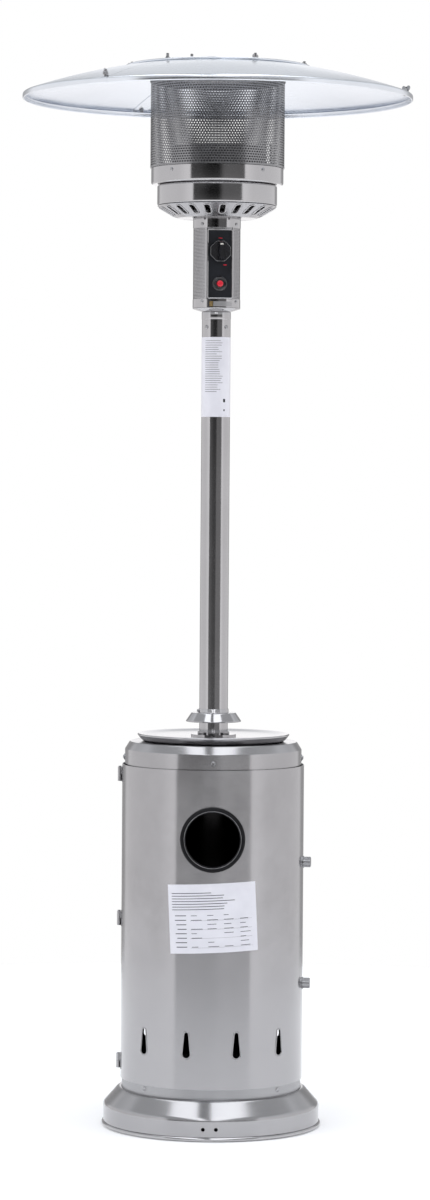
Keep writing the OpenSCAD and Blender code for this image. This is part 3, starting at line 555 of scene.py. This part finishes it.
def make_lights():
    """Two soft lamps, in metres and watts, that lay a faint shadow. The metal doesn't mirror them."""
    target = Vector((0, 0, 1.2))
    for name, place, size, power in (
        ("key", (-3.2, -1.6, 4.2), 3.0, 40.0),
        ("fill", (3.4, -1.2, 3.4), 3.0, 28.0),
    ):
        data = bpy.data.lights.new(name, "AREA")
        data.shape, data.size, data.energy = "SQUARE", size, power
        lamp = bpy.data.objects.new(name, data)
        bpy.context.scene.collection.objects.link(lamp)
        lamp.location = place
        lamp.visible_glossy = False
        lamp.rotation_euler = (target - Vector(place)).to_track_quat("-Z", "Y").to_euler()


# ---------------------------------------------------------------- base

def make_base():
    """The base shell: wall, sloping shoulder and rolled inner lip, with the two wheel bracket holes."""
    sheet, crease, bend, lip_bend, lip_depth = 1.2, 40.0, 15.0, 1.6, 12
    hole_z, hole_x, hole_pitch, hole_r, drill_start, drill_length = 25.0, -2.6, 26.6, 3.9, 190, 60
    wall, foot, crown = radius("base_shell") - 0.1, low("base_shell").z, high("base_shell").z
    lip = radius("lower_ring") + 0.3
    start, end = (wall - bend, crease), (lip + 1.3, crown - bend)
    slope = math.degrees(math.atan((start[0] - end[0]) / (end[1] - start[1])))
    path = [(wall - 0.4, foot), (wall - 0.4, crease - 4)] + arc(start, bend, 0, slope, 14)
    path += arc(end, bend, slope, 90, 16)
    path += arc((end[0], crown - lip_bend), lip_bend, 90, 178, 6)[1:] + [(lip, crown - lip_depth)]
    shell = lathe("base_dome", ribbon(path, sheet), steps=288, sharp=50)
    drills = []
    for side in (-1, 1):
        drill = prism("drill", arc((0, 0), hole_r, 0, 360, 24)[:-1], drill_length)
        drill.data.transform(Matrix.Rotation(math.radians(-90), 4, "Z"))
        centre = Vector((hole_x + side * hole_pitch / 2, -drill_start, hole_z))
        drill.data.transform(Matrix.Translation(centre * MM))
        drills.append(drill)
    cut(shell, drills)
    finish_piece(shell, "frame", "steel_brushed", "base_shell")


def make_ring():
    """The plain ring between the base and the housing."""
    r, top, foot = radius("lower_ring"), high("lower_ring").z, low("lower_ring").z
    ring = lathe("base_ring", ribbon([(r, foot), (r, top)], 1.2), sharp=50)
    finish_piece(ring, "frame", "steel_plain", "lower_ring")


# ---------------------------------------------------------------- cover, disc, bell and neck

POST_R, POST_BORE = 30.0, 30.4


def make_cover():
    """The housing's cover: a short wall, a sloping shoulder and a flat top."""
    r, band, bend, slope = radius("tank_cover"), 788.0, 3.0, 32.0
    foot, top = low("tank_cover").z, high("tank_cover").z
    flat = r - bend - math.tan(math.radians(slope)) * (top - bend - band)
    path = [(r, foot)] + arc((r - bend, band), bend, 0, slope, 8)
    path += arc((flat, top - bend), bend, slope, 90, 10) + [(POST_BORE, top)]
    cover = lathe("cover_dome", ribbon(path, 1.2), sharp=50)
    finish_piece(cover, "frame", "steel_brushed", "tank_cover")


def make_disc():
    """The raised disc on the cover, with its rolled rim."""
    edge, foot, top = radius("cover_disc"), low("cover_disc").z, high("cover_disc").z
    bead, rim = 2.4, top + 4.5
    path = [(edge - 17, foot), (edge - 12, foot), (edge - 6.5, foot + 5)]
    path += arc((edge - bead, rim - bead), bead, -48, 90, 14)
    path += [(edge - 9, rim - 0.4), (edge - 20, top + 1.2), (edge - 34, top), (POST_BORE, top)]
    disc = lathe("cover_top_disc", ribbon(path, 1.0), sharp=50)
    finish_piece(disc, "frame", "steel_polished", "cover_disc")


def make_bell():
    """The sliding bell: a rolled rim, a straight cone and a thin collar."""
    foot, top, wide = low("escutcheon").z, high("escutcheon").z, radius("escutcheon")
    flat, collar, bore = 45.0, 31.4, POST_BORE
    crown = foot + 19.0
    path = arc((wide - 1.0, foot + 1.0), 1.0, -80, 0, 6) + [(wide, foot + 1.8)]
    start, end = Vector((wide - 0.3, foot + 2.4)), Vector((flat + 1.7, crown - 0.9))
    path += [tuple(start.lerp(end, t)) for t in (0.0, 0.06, 0.5, 0.94, 1.0)]
    path += [(flat + 0.9, crown - 0.25), (flat, crown)]
    path += [(collar + 1.0, crown), (collar + 0.3, crown + 0.3), (collar, crown + 1.0)]
    path += [(collar, top - 0.5), (collar - 0.3, top), (bore, top)]
    path += [(bore, crown - 1.2), (flat - 0.6, crown - 1.2)]
    path += [(wide - 1.2, foot + 1.4), (wide - 1.2, foot + 0.4)]
    finish_piece(lathe("bell", path, steps=180, sharp=45), "escutcheon", "steel_polished", "escutcheon")


def make_neck():
    """The ring over the post's end, with the plug that goes down into the post."""
    foot, top, wide = 1686.2, high("neck_adaptor").z, radius("neck_adaptor")
    bore, plug, plug_length = 26.8, 28.3, 30
    outline = [(POST_R, foot), (wide - 0.2, foot + 0.4), (wide, foot + 1.0), (wide, top - 1.2)]
    outline += [(wide - 0.4, top - 0.3), (POST_R - 0.4, top), (bore, top)]
    outline += [(bore, foot - plug_length), (plug, foot - plug_length), (plug, foot)]
    neck = lathe("neck", outline, steps=120, sharp=45)
    finish_piece(neck, "frame", "steel_polished", "neck_adaptor")


def make_head_cone():
    """The shallow cone that carries the control head."""
    foot, top, wide = low("head_base").z, high("head_base").z, radius("head_base")
    bore, sheet = 20, 2
    outline = [(bore, foot), (POST_R + 1.2, foot), (POST_R + 1.7, foot + 0.3), (wide - 0.7, top - 1.8)]
    outline += [(wide - 0.1, top - 1.0), (wide, top - 0.4), (wide - 0.3, top), (bore, top)]
    outline += [(bore, top - sheet), (POST_R, top - sheet), (POST_R - 2, foot + sheet), (bore, foot + sheet)]
    cone = lathe("head_cone", outline, steps=120, sharp=50)
    finish_piece(cone, "frame", "steel_polished", "head_base")


# ---------------------------------------------------------------- burner drums and air bowl

def stadium(x0, x1, r, steps=8):
    """Points round a slot along local X: its two ends are half circles."""
    return arc((x1, 0), r, -90, 90, steps) + arc((x0, 0), r, 90, 270, steps)


def make_bowl():
    """The cone-shaped air bowl, each slot with a raised lip."""
    foot, floor_r, bend, edge, edge_z = low("air_bowl").z, 80.0, 7, 124.4, 1921.5
    slots, first, slot_start, slot_end, slot_r = 22, 6.0, 97.0, 114.0, 5.5
    lip_r, lip_out, lip_sink, cutter_rise, cutter_length = 1.5, 1.1, 0.2, 45, 50
    curve, cone_end = arc((floor_r, foot + bend), bend, -90, -56, 8), (edge - 1.4, edge_z - 1.1)
    path = [(20, foot), (floor_r, foot)] + curve + [cone_end, (edge, edge_z)]
    bowl = lathe("bowl", ribbon(path, 1.0), steps=264, sharp=50)
    cone_start = Vector(curve[-1])
    slope = (Vector(cone_end) - cone_start).normalized()
    tip_down = Matrix(((0, 0, 1, 0), (0, 1, 0, 0), (-1, 0, 0, 0), (0, 0, 0, 1)))
    cutters, rims = [], []
    for i in range(slots):
        azimuth = first + i * 360 / slots
        cutter = prism("slot", [(y, x) for x, y in stadium(slot_start, slot_end, slot_r)], cutter_length)
        cutter.data.transform(tip_down)
        cutters.append(at_azimuth(cutter, azimuth, 0, foot + cutter_rise))
        loop = []
        for x, y in stadium(slot_start, slot_end, slot_r + lip_out, 10):
            loop.append((x, y, cone_start.y + (x - cone_start.x) * slope.y / slope.x - lip_sink))
        rims.append(at_azimuth(tube_along("rim", loop, lip_r), azimuth, 0, 0))
    cut(bowl, cutters)
    finish_piece(bowl, "frame", "steel_brushed", "air_bowl")
    finish_piece(join("bowl_slot_lips", rims), "frame", "steel_polished")


def make_drums():
    """The two polished drums under the emitter."""
    sheet, bend, mouth = 1.2, 5.0, 100
    r, foot, top = radius("lower_drum"), low("lower_drum").z, high("lower_drum").z
    path = [(106, foot)] + arc((r - bend, foot + bend), bend, -90, 0, 12) + [(r, (foot + top) / 2)]
    path += arc((r - bend, top - bend), bend, 0, 90, 12) + [(mouth, top)]
    lower = lathe("drum_low", ribbon(path, sheet), steps=288)
    finish_piece(lower, "frame", "steel_polished", "lower_drum")

    r, foot, top = radius("upper_drum"), low("upper_drum").z, high("upper_drum").z
    outline = [(mouth, foot)] + arc((r - bend, foot + bend), bend, -90, 0, 12)
    outline += [(r, top - 0.5), (r - 0.5, top), (r - sheet, top), (r - sheet, top - 0.8)]
    outline += [(97, top - 0.8), (97, top - 2.2), (r - sheet, top - 2.2)]
    outline += arc((r - bend, foot + bend), bend - sheet, 0, -90, 10) + [(mouth, foot + sheet)]
    upper = lathe("drum_high", outline, steps=288)
    finish_piece(upper, "frame", "steel_polished", "upper_drum")


# ---------------------------------------------------------------- emitter and reflector

def honeycomb(name, r, thickness, z0, z1, columns, rows, web, keep=None):
    """A closed pierced sheet all round the post's axis: hexagonal holes in staggered rows.

    keep tells for a cell's azimuth whether the cell is made.
    """
    cell = ((-1, -1), (0, -1), (1, -1), (1, 1), (0, 1), (-1, 1))
    hexagon = ((-1, -0.5), (0, -1), (1, -0.5), (1, 0.5), (0, 1), (-1, 0.5))
    pitch, rise = 360 / columns, (z1 - z0) / rows
    across = math.radians(pitch) * r
    hole_az, hole_z = (across - web) / across / 2 * pitch, (rise - web * 0.8) / 2
    verts, index, faces = [], {}, []

    def point(az, z, layer):
        key = (round(az % 360, 5), round(z, 4), layer)
        if key not in index:
            index[key] = len(verts)
            rr, a = r - thickness * layer, math.radians(az)
            verts.append((rr * math.sin(a), -rr * math.cos(a), z))
        return index[key]

    for row in range(rows):
        z = z0 + (row + 0.5) * rise
        shift = 0.5 * (row % 2)
        for column in range(columns):
            az = (column + 0.5 + shift) * pitch
            if keep and not keep(az):
                continue
            holes = []
            for layer in (0, 1):
                edge = [point(az + dx * pitch / 2, z + dz * rise / 2, layer) for dx, dz in cell]
                hole = [point(az + dx * hole_az, z + dz * hole_z, layer) for dx, dz in hexagon]
                holes.append(hole)
                for i in range(6):
                    k = (i + 1) % 6
                    quad = (edge[i], edge[k], hole[k], hole[i])
                    faces.append(tuple(reversed(quad)) if layer else quad)
            for i in range(6):
                k = (i + 1) % 6
                faces.append((holes[0][i], holes[0][k], holes[1][k], holes[1][i]))

    # The outer layer's free edges are joined to the inner layer's, which closes the sheet's rims
    uses = {}
    for face in faces:
        for i in range(len(face)):
            a, b = face[i], face[(i + 1) % len(face)]
            uses.setdefault(frozenset((a, b)), []).append((a, b))
    key_of = {number: key for key, number in index.items()}
    for pairs in uses.values():
        if len(pairs) == 1:
            a, b = pairs[0]
            (az_a, z_a, layer_a), (az_b, z_b, layer_b) = key_of[a], key_of[b]
            if layer_a == layer_b == 0:
                faces.append((b, a, index[(az_a, z_a, 1)], index[(az_b, z_b, 1)]))
    return make_object(name, verts, faces, 40)


def make_emitter():
    """The pierced emitter screen, its foot flange, its plain upper band and the cap."""
    r, foot, top = radius("emitter_screen"), low("emitter_screen").z, high("emitter_screen").z
    toe, sheet, band = radius("upper_drum") - 8, 1.4, 6
    screen = honeycomb("emitter_mesh", r - 0.3, 0.7, foot + 3, top - 4, columns=146, rows=35, web=1.9)
    finish_piece(screen, "frame", "emitter_steel", "emitter_screen")
    flange = [(r, foot), (r, foot + 3.4), (r - sheet, foot + 3.4), (r - sheet, foot + 1.2)]
    flange += [(toe, foot + 1.2), (toe, foot)]
    upper = [(r, top - band), (r, top), (r - sheet, top), (r - sheet, top - band)]
    bands = [lathe("emitter_foot", flange), lathe("emitter_neck", upper)]
    finish_piece(join("emitter_bands", bands), "frame", "emitter_steel")

    r, top, bend = radius("emitter_cap"), high("emitter_cap").z, 1.6
    path = [(r - 0.6, top - 10.5), (r, top - 9.9), (r, top - bend)]
    path += arc((r - bend, top - bend), bend, 0, 90, 6) + [(10, top)]
    lid = lathe("emitter_lid", ribbon(path, 1.0))
    finish_piece(lid, "frame", "emitter_steel", "emitter_cap")


REFLECTOR_R = 406.5


def panel_height(r):
    """Height of the reflector's upper face at a radius: it flattens towards the crown."""
    rim_height, crown, slope, flattening = 11, 2207.0, 0.341, 0.000407
    inward = REFLECTOR_R - r
    rise = slope * inward - flattening * inward * inward
    return min(crown, low("reflector_panel_left").z + rim_height + rise)


def make_reflector():
    """Three rolled panels with joggled laps, and the centre disc with its rolled edge."""
    rim, foot = REFLECTOR_R, low("reflector_panel_left").z
    inner, curl_r, sheet, lap_drop = 165, 2, 1.0, 1.15
    curl = arc((rim - curl_r, foot + curl_r), curl_r, -200, 0, 10)
    turn = [(rim, foot + 8.2), (rim - 0.5, foot + 9.9), (rim - 1.7, foot + 11.1)]
    top = [(r, panel_height(r)) for r in np.linspace(rim - 3.4, 192, 44)] + [(inner, panel_height(inner))]
    panel = ribbon(curl + turn + top, sheet)
    lap = ribbon([(r, panel_height(r) - lap_drop) for r in np.linspace(rim - 8, 205, 30)], sheet)
    for side, seam in (("left", -153.0), ("right", -33.0), ("rear", 87.0)):
        node = "reflector_panel_" + side
        sheets = [lathe(node + "_sheet", panel, seam + 0.06, seam + 119.94, 120, 45),
                  lathe(node + "_lap", lap, seam - 4, seam + 0.8, 6, 45)]
        finish_piece(join(node + "_look", sheets), "frame", "reflector_aluminium", node)

    z, edge, bead = low("reflector_disc").z, radius("reflector_disc"), 2.4
    outline = [(0, z)] + arc((edge - bead, z + bead), bead, -90, 150, 18)
    outline += [(edge - 6, z + 1.4), (0, z + 1.2)]
    lid = lathe("reflector_lid", outline)
    finish_piece(lid, "frame", "reflector_aluminium", "reflector_disc")


# ---------------------------------------------------------------- control head

HEAD_TURN, PANEL_MID, PANEL_FACE = 8.5, 1800.0, 44.5
PANEL_HALF_W, PANEL_HALF_H = 24.25, 70.0
KNOB_HEIGHT, IGNITER_HEIGHT = 1826.0, 1759.0


def make_wrap():
    """The finely pierced sleeve, left open round the control panel."""
    r, foot, top = radius("perforated_wrap"), low("perforated_wrap").z, high("perforated_wrap").z
    outer, inner, hem = r + 0.1, r - 0.7, 1.6
    edge = math.degrees(math.asin((PANEL_HALF_W + 2.8) / r))
    margin = 1.9
    keep_out = edge + margin

    def keep(az):
        return abs((az - HEAD_TURN + 180) % 360 - 180) > keep_out

    mesh = honeycomb("wrap_mesh", r, 0.8, foot + 1, top - 1, columns=96, rows=51, web=1.15, keep=keep)
    finish_piece(mesh, "frame", SLOT["perforated_wrap"], "perforated_wrap")
    strips = []
    for side in (-1, 1):
        a, b = sorted((HEAD_TURN + side * edge, HEAD_TURN + side * (keep_out + margin)))
        upright = [(outer, foot), (outer, top), (inner, top), (inner, foot)]
        strips.append(lathe("strip", upright, a, b, 6))
    for z in (foot, top - hem):
        a, b = HEAD_TURN + edge, HEAD_TURN + 360 - edge
        level = [(outer, z), (outer, z + hem), (inner, z + hem), (inner, z)]
        strips.append(lathe("hem", level, a, b - 0.01, 120))
    finish_piece(join("wrap_edges", strips), "frame", SLOT["perforated_wrap"])


def sweep_rectangle(name, half_w, half_h, profile):
    """A closed frame: the (outward, forward) profile carried round a rectangle in local Y-Z."""
    rounding, corner, verts = 1.2, 4, []
    for side, up, turn in ((1, 1, 0), (-1, 1, 90), (-1, -1, 180), (1, -1, 270)):
        y, z = side * (half_w - rounding), up * (half_h - rounding)
        for i in range(corner + 1):
            a = math.radians(turn + 90 * i / corner)
            for out, forward in profile:
                reach = max(rounding + out, 0.05)
                verts.append((forward, y + reach * math.cos(a), z + reach * math.sin(a)))
    return skin(name, verts, len(profile), True, 30)


def on_panel(obj, z, forward=0.0):
    """Stands an object whose +X points outward on the control panel's face."""
    return at_azimuth(obj, HEAD_TURN, PANEL_FACE + forward, z)


def make_panel():
    """The bright frame with its double lip, and the plain marks on the panel."""
    lip = [(0.1, -4.4), (2.5, -4.4), (2.5, 1.6), (2.2, 2.3), (1.6, 2.5)]
    lip += [(1.2, 2.3), (1.1, 1.5), (0.8, 1.1), (0.2, 0.9)]
    rim = sweep_rectangle("panel_rim", PANEL_HALF_W, PANEL_HALF_H, lip)
    finish_piece(on_panel(rim, PANEL_MID), "frame", SLOT["panel_frame"], "panel_frame")
    inset, bead = 0.4, [(0.1, 0.3), (0.5, 0.3), (0.5, 0.9), (0.1, 0.9)]
    ridge = sweep_rectangle("panel_ridge", PANEL_HALF_W - inset, PANEL_HALF_H - inset, bead)
    finish_piece(on_panel(ridge, PANEL_MID), "frame", SLOT["panel_frame"])
    thickness, lift, marks = 0.25, 0.02, []
    for z, middle, half in ((KNOB_HEIGHT + 27.5, 1.0, 4.0), (KNOB_HEIGHT - 28.0, 11.0, 3.5)):
        left, right, up = middle - half, middle + half, 0.8
        bar = prism("bar", [(left, -up), (right, -up), (right, up), (left, up)], thickness)
        marks.append(on_panel(bar, z, lift))
    finish_piece(join("panel_marks", marks), "frame", "red_plastic")


def octagon(r):
    """An eight-sided outline with blunted corners."""
    corners = [Vector(q) for q in arc((0, 0), r, 22.5, 382.5, 8)[:-1]]
    outline = []
    for i, corner in enumerate(corners):
        before, after = corners[i - 1], corners[(i + 1) % 8]
        outline += [corner.lerp(before, 0.2), corner.lerp(before, 0.07)]
        outline += [corner.lerp(after, 0.07), corner.lerp(after, 0.2)]
    return [tuple(q) for q in outline]


def make_control_knob():
    """The gas knob: eight-sided skirt with a light edge, tapered grip and a pale pointer."""
    gap, skirt, half, rim = 5.0, 6.0, 20.0, octagon(23.0)
    top = skirt + 17.0
    grip = [(-5.5, -half), (-4.4, half), (4.4, half), (5.5, -half)]
    parts = [taper("knob_skirt", rim, ((0, 1.0), (skirt - 1.2, 1.0), (skirt, 0.93)), 25),
             taper("knob_grip", grip, ((skirt - 0.6, 1.0), (top - 2.5, 0.87), (top, 0.80)), 20)]
    knob = join("gas_knob_look", parts)
    finish_piece(on_panel(knob, KNOB_HEIGHT, gap), "gas_knob", SLOT["control_knob"], "control_knob")
    edge = tube_along("knob_edge", [(skirt - 0.4, y * 0.975, z * 0.975) for y, z in rim], 0.28, 6)
    finish_piece(on_panel(edge, KNOB_HEIGHT, gap), "gas_knob", "steel_plain")
    pointer = prism("knob_pointer", [(-3.4, 0), (3.4, 0), (3.0, 2.8), (-3.0, 2.8)], 0.4)
    pointer.data.transform(Matrix.Translation(Vector((top - 0.1, 0, 12.4)) * MM))
    finish_piece(on_panel(pointer, KNOB_HEIGHT, gap), "gas_knob", "white_ceramic")


def make_igniter():
    """The igniter's black bezel and red push button."""
    r, bore, sleeve, back = 15.6, 6.8, 10.8, -12
    outline = [(back, bore + 0.3), (back, sleeve), (0.1, sleeve), (0.1, r - 0.3), (0.5, r), (2.2, r)]
    outline += [(3.4, r - 1.0), (4.0, r - 2.4), (3.2, r - 4.0), (3.2, bore + 2.2), (3.9, bore + 1.4)]
    outline += [(3.6, bore), (back, bore), (back, bore + 0.3)]
    bezel = spin_x("igniter_ring", outline, 64)
    finish_piece(on_panel(bezel, IGNITER_HEIGHT), "frame", SLOT["igniter_bezel"], "igniter_bezel")
    outline = [(-1, 0), (-1, 6.5), (6.8, 6.5), (7.6, 6.1), (8.0, 5.2), (8.2, 3.0), (8.25, 0)]
    button = spin_x("push_button", outline, 48)
    finish_piece(on_panel(button, IGNITER_HEIGHT), "igniter", SLOT["igniter_button"], "igniter_button")


# ---------------------------------------------------------------- stickers, port and vents

HOUSING_R = radius("rear_shell")


def sticker(name, r, azimuth, z, across, up, thickness, tilt=0.0, steps=24):
    """A thin closed plate bent round the post's axis: across and up are (from, to) in millimetres."""
    lean, verts = math.radians(tilt), []
    for i in range(steps + 1):
        u = across[0] + (across[1] - across[0]) * i / steps
        for v, out in ((up[0], thickness), (up[1], thickness), (up[1], 0.0), (up[0], 0.0)):
            side = u * math.cos(lean) - v * math.sin(lean)
            rise = u * math.sin(lean) + v * math.cos(lean)
            a = math.radians(azimuth) + side / r
            verts.append(((r + out) * math.sin(a), -(r + out) * math.cos(a), z + rise))
    return skin(name, verts, 4, False)


def make_post_label(rng):
    """Plain bars and two blocks where the post's sticker carries print."""
    r, ink, lines, pitch, left = radius("post_label"), 0.05, 24, 4.6, -25
    foot, top = low("post_label").z, high("post_label").z
    bars = []
    for i in range(lines):
        length = 26 + 14 * rng.random()
        across = (left, left + length)
        bars.append(sticker("line", r, 0, top - 8 - i * pitch, across, (0, 0.8), ink, steps=12))
    finish_piece(join("post_label_lines", bars), "frame", "black_panel")
    dots = [sticker("dot", r, 0, foot + 34, (16, 21), (-3.5, 3.5), 0.06, steps=4),
            sticker("dot", r, 0, foot + 14, (17, 20), (-2, 2), 0.06, steps=4)]
    finish_piece(join("post_label_dots", dots), "frame", "black_panel")


def make_door_label(rng):
    """Plain bars where the door's sticker carries print: lines, and a table with rules under them."""
    r, middle, tilt, ink = HOUSING_R + 0.3, 454.0, 2.7, 0.05
    lines, line_pitch, rows, row_pitch, columns, column_pitch, filled = 7, 5.6, 8, 9.2, 4, 34, 0.78
    bars = []

    def bar(name, start, end, z, height):
        bars.append(sticker(name, r, 0, middle, (start, end), (z, z + height), ink, tilt))

    for i in range(lines):
        bar("line", -84, -2 + 55 * rng.random(), 52 - line_pitch * i, 1.3)
    for row in range(rows):
        z = 6 - row * row_pitch
        bar("name", -80 + 8 * rng.random(), -54, z, 1.5)
        for column in range(columns):
            start = -44 + column * column_pitch
            if rng.random() < filled:
                bar("cell", start, start + 10 + 14 * rng.random(), z, 1.1)
    for z in (-4.0, -22.5, -40.5, -60.0):
        bar("rule", -46, 84, z, 0.3)
    finish_piece(join("door_label_lines", bars), "door", "black_panel")


def make_notice():
    """A plain strip with a coloured end where the control head carries a notice."""
    r, z, up = radius("head_bands"), 1717.0, (-5.2, 5.2)
    strip = sticker("notice", r, HEAD_TURN, z, (-14, 27), up, 0.2, steps=16)
    finish_piece(strip, "frame", "steel_plain")
    mark = sticker("notice_mark", r, HEAD_TURN, z, (-22, -15), up, 0.22, steps=8)
    finish_piece(mark, "frame", "brass_plain")


def make_labels():
    """The marks on the stickers: no wording, no marks of approval."""
    rng = np.random.default_rng(7)
    make_post_label(rng)
    make_door_label(rng)
    make_notice()


def make_port():
    """The port's black bead and its thin light inner edge."""
    middle = 615.0
    for name, ring, thick, lift, slot in (
        ("port_bead", 62.6, 4.4, 2.0, SLOT["port_ring"]),
        ("port_edge", 58.6, 0.45, 4.4, "steel_plain"),
    ):
        circle = arc((0, middle), ring, 0, 360, 96)[:-1]
        loop = [(x, -math.sqrt((HOUSING_R + lift) ** 2 - x * x), z) for x, z in circle]
        finish_piece(tube_along(name, loop, thick, 14), "door", slot)


def make_vents():
    """A pressed lip round each front vent."""
    foot_z, foot_r, head_z, head_r = 173.0, 10.2, 214.0, 6.2
    outline = arc((0, foot_z), foot_r, 180, 360, 14) + arc((0, head_z), head_r, 0, 180, 12)
    rims = []
    for azimuth in (-47, -15.7, 15.7, 47):
        loop = []
        for x, z in outline:
            a = math.radians(azimuth) + x / HOUSING_R
            loop.append((HOUSING_R * math.sin(a), -HOUSING_R * math.cos(a), z))
        rims.append(tube_along("vent_rim", loop, 1.0))
    finish_piece(join("vent_lips", rims), "door", SLOT["door"])


# ---------------------------------------------------------------- build

bpy.context.scene.view_settings.view_transform = "Standard"
make_camera()
make_world()
make_floor()
make_lights()

make_base()
make_ring()
make_cover()
make_disc()
make_bell()
make_neck()
make_head_cone()
make_bowl()
make_drums()
make_emitter()
make_reflector()
make_wrap()
make_panel()
make_control_knob()
make_igniter()
make_labels()
make_port()
make_vents()
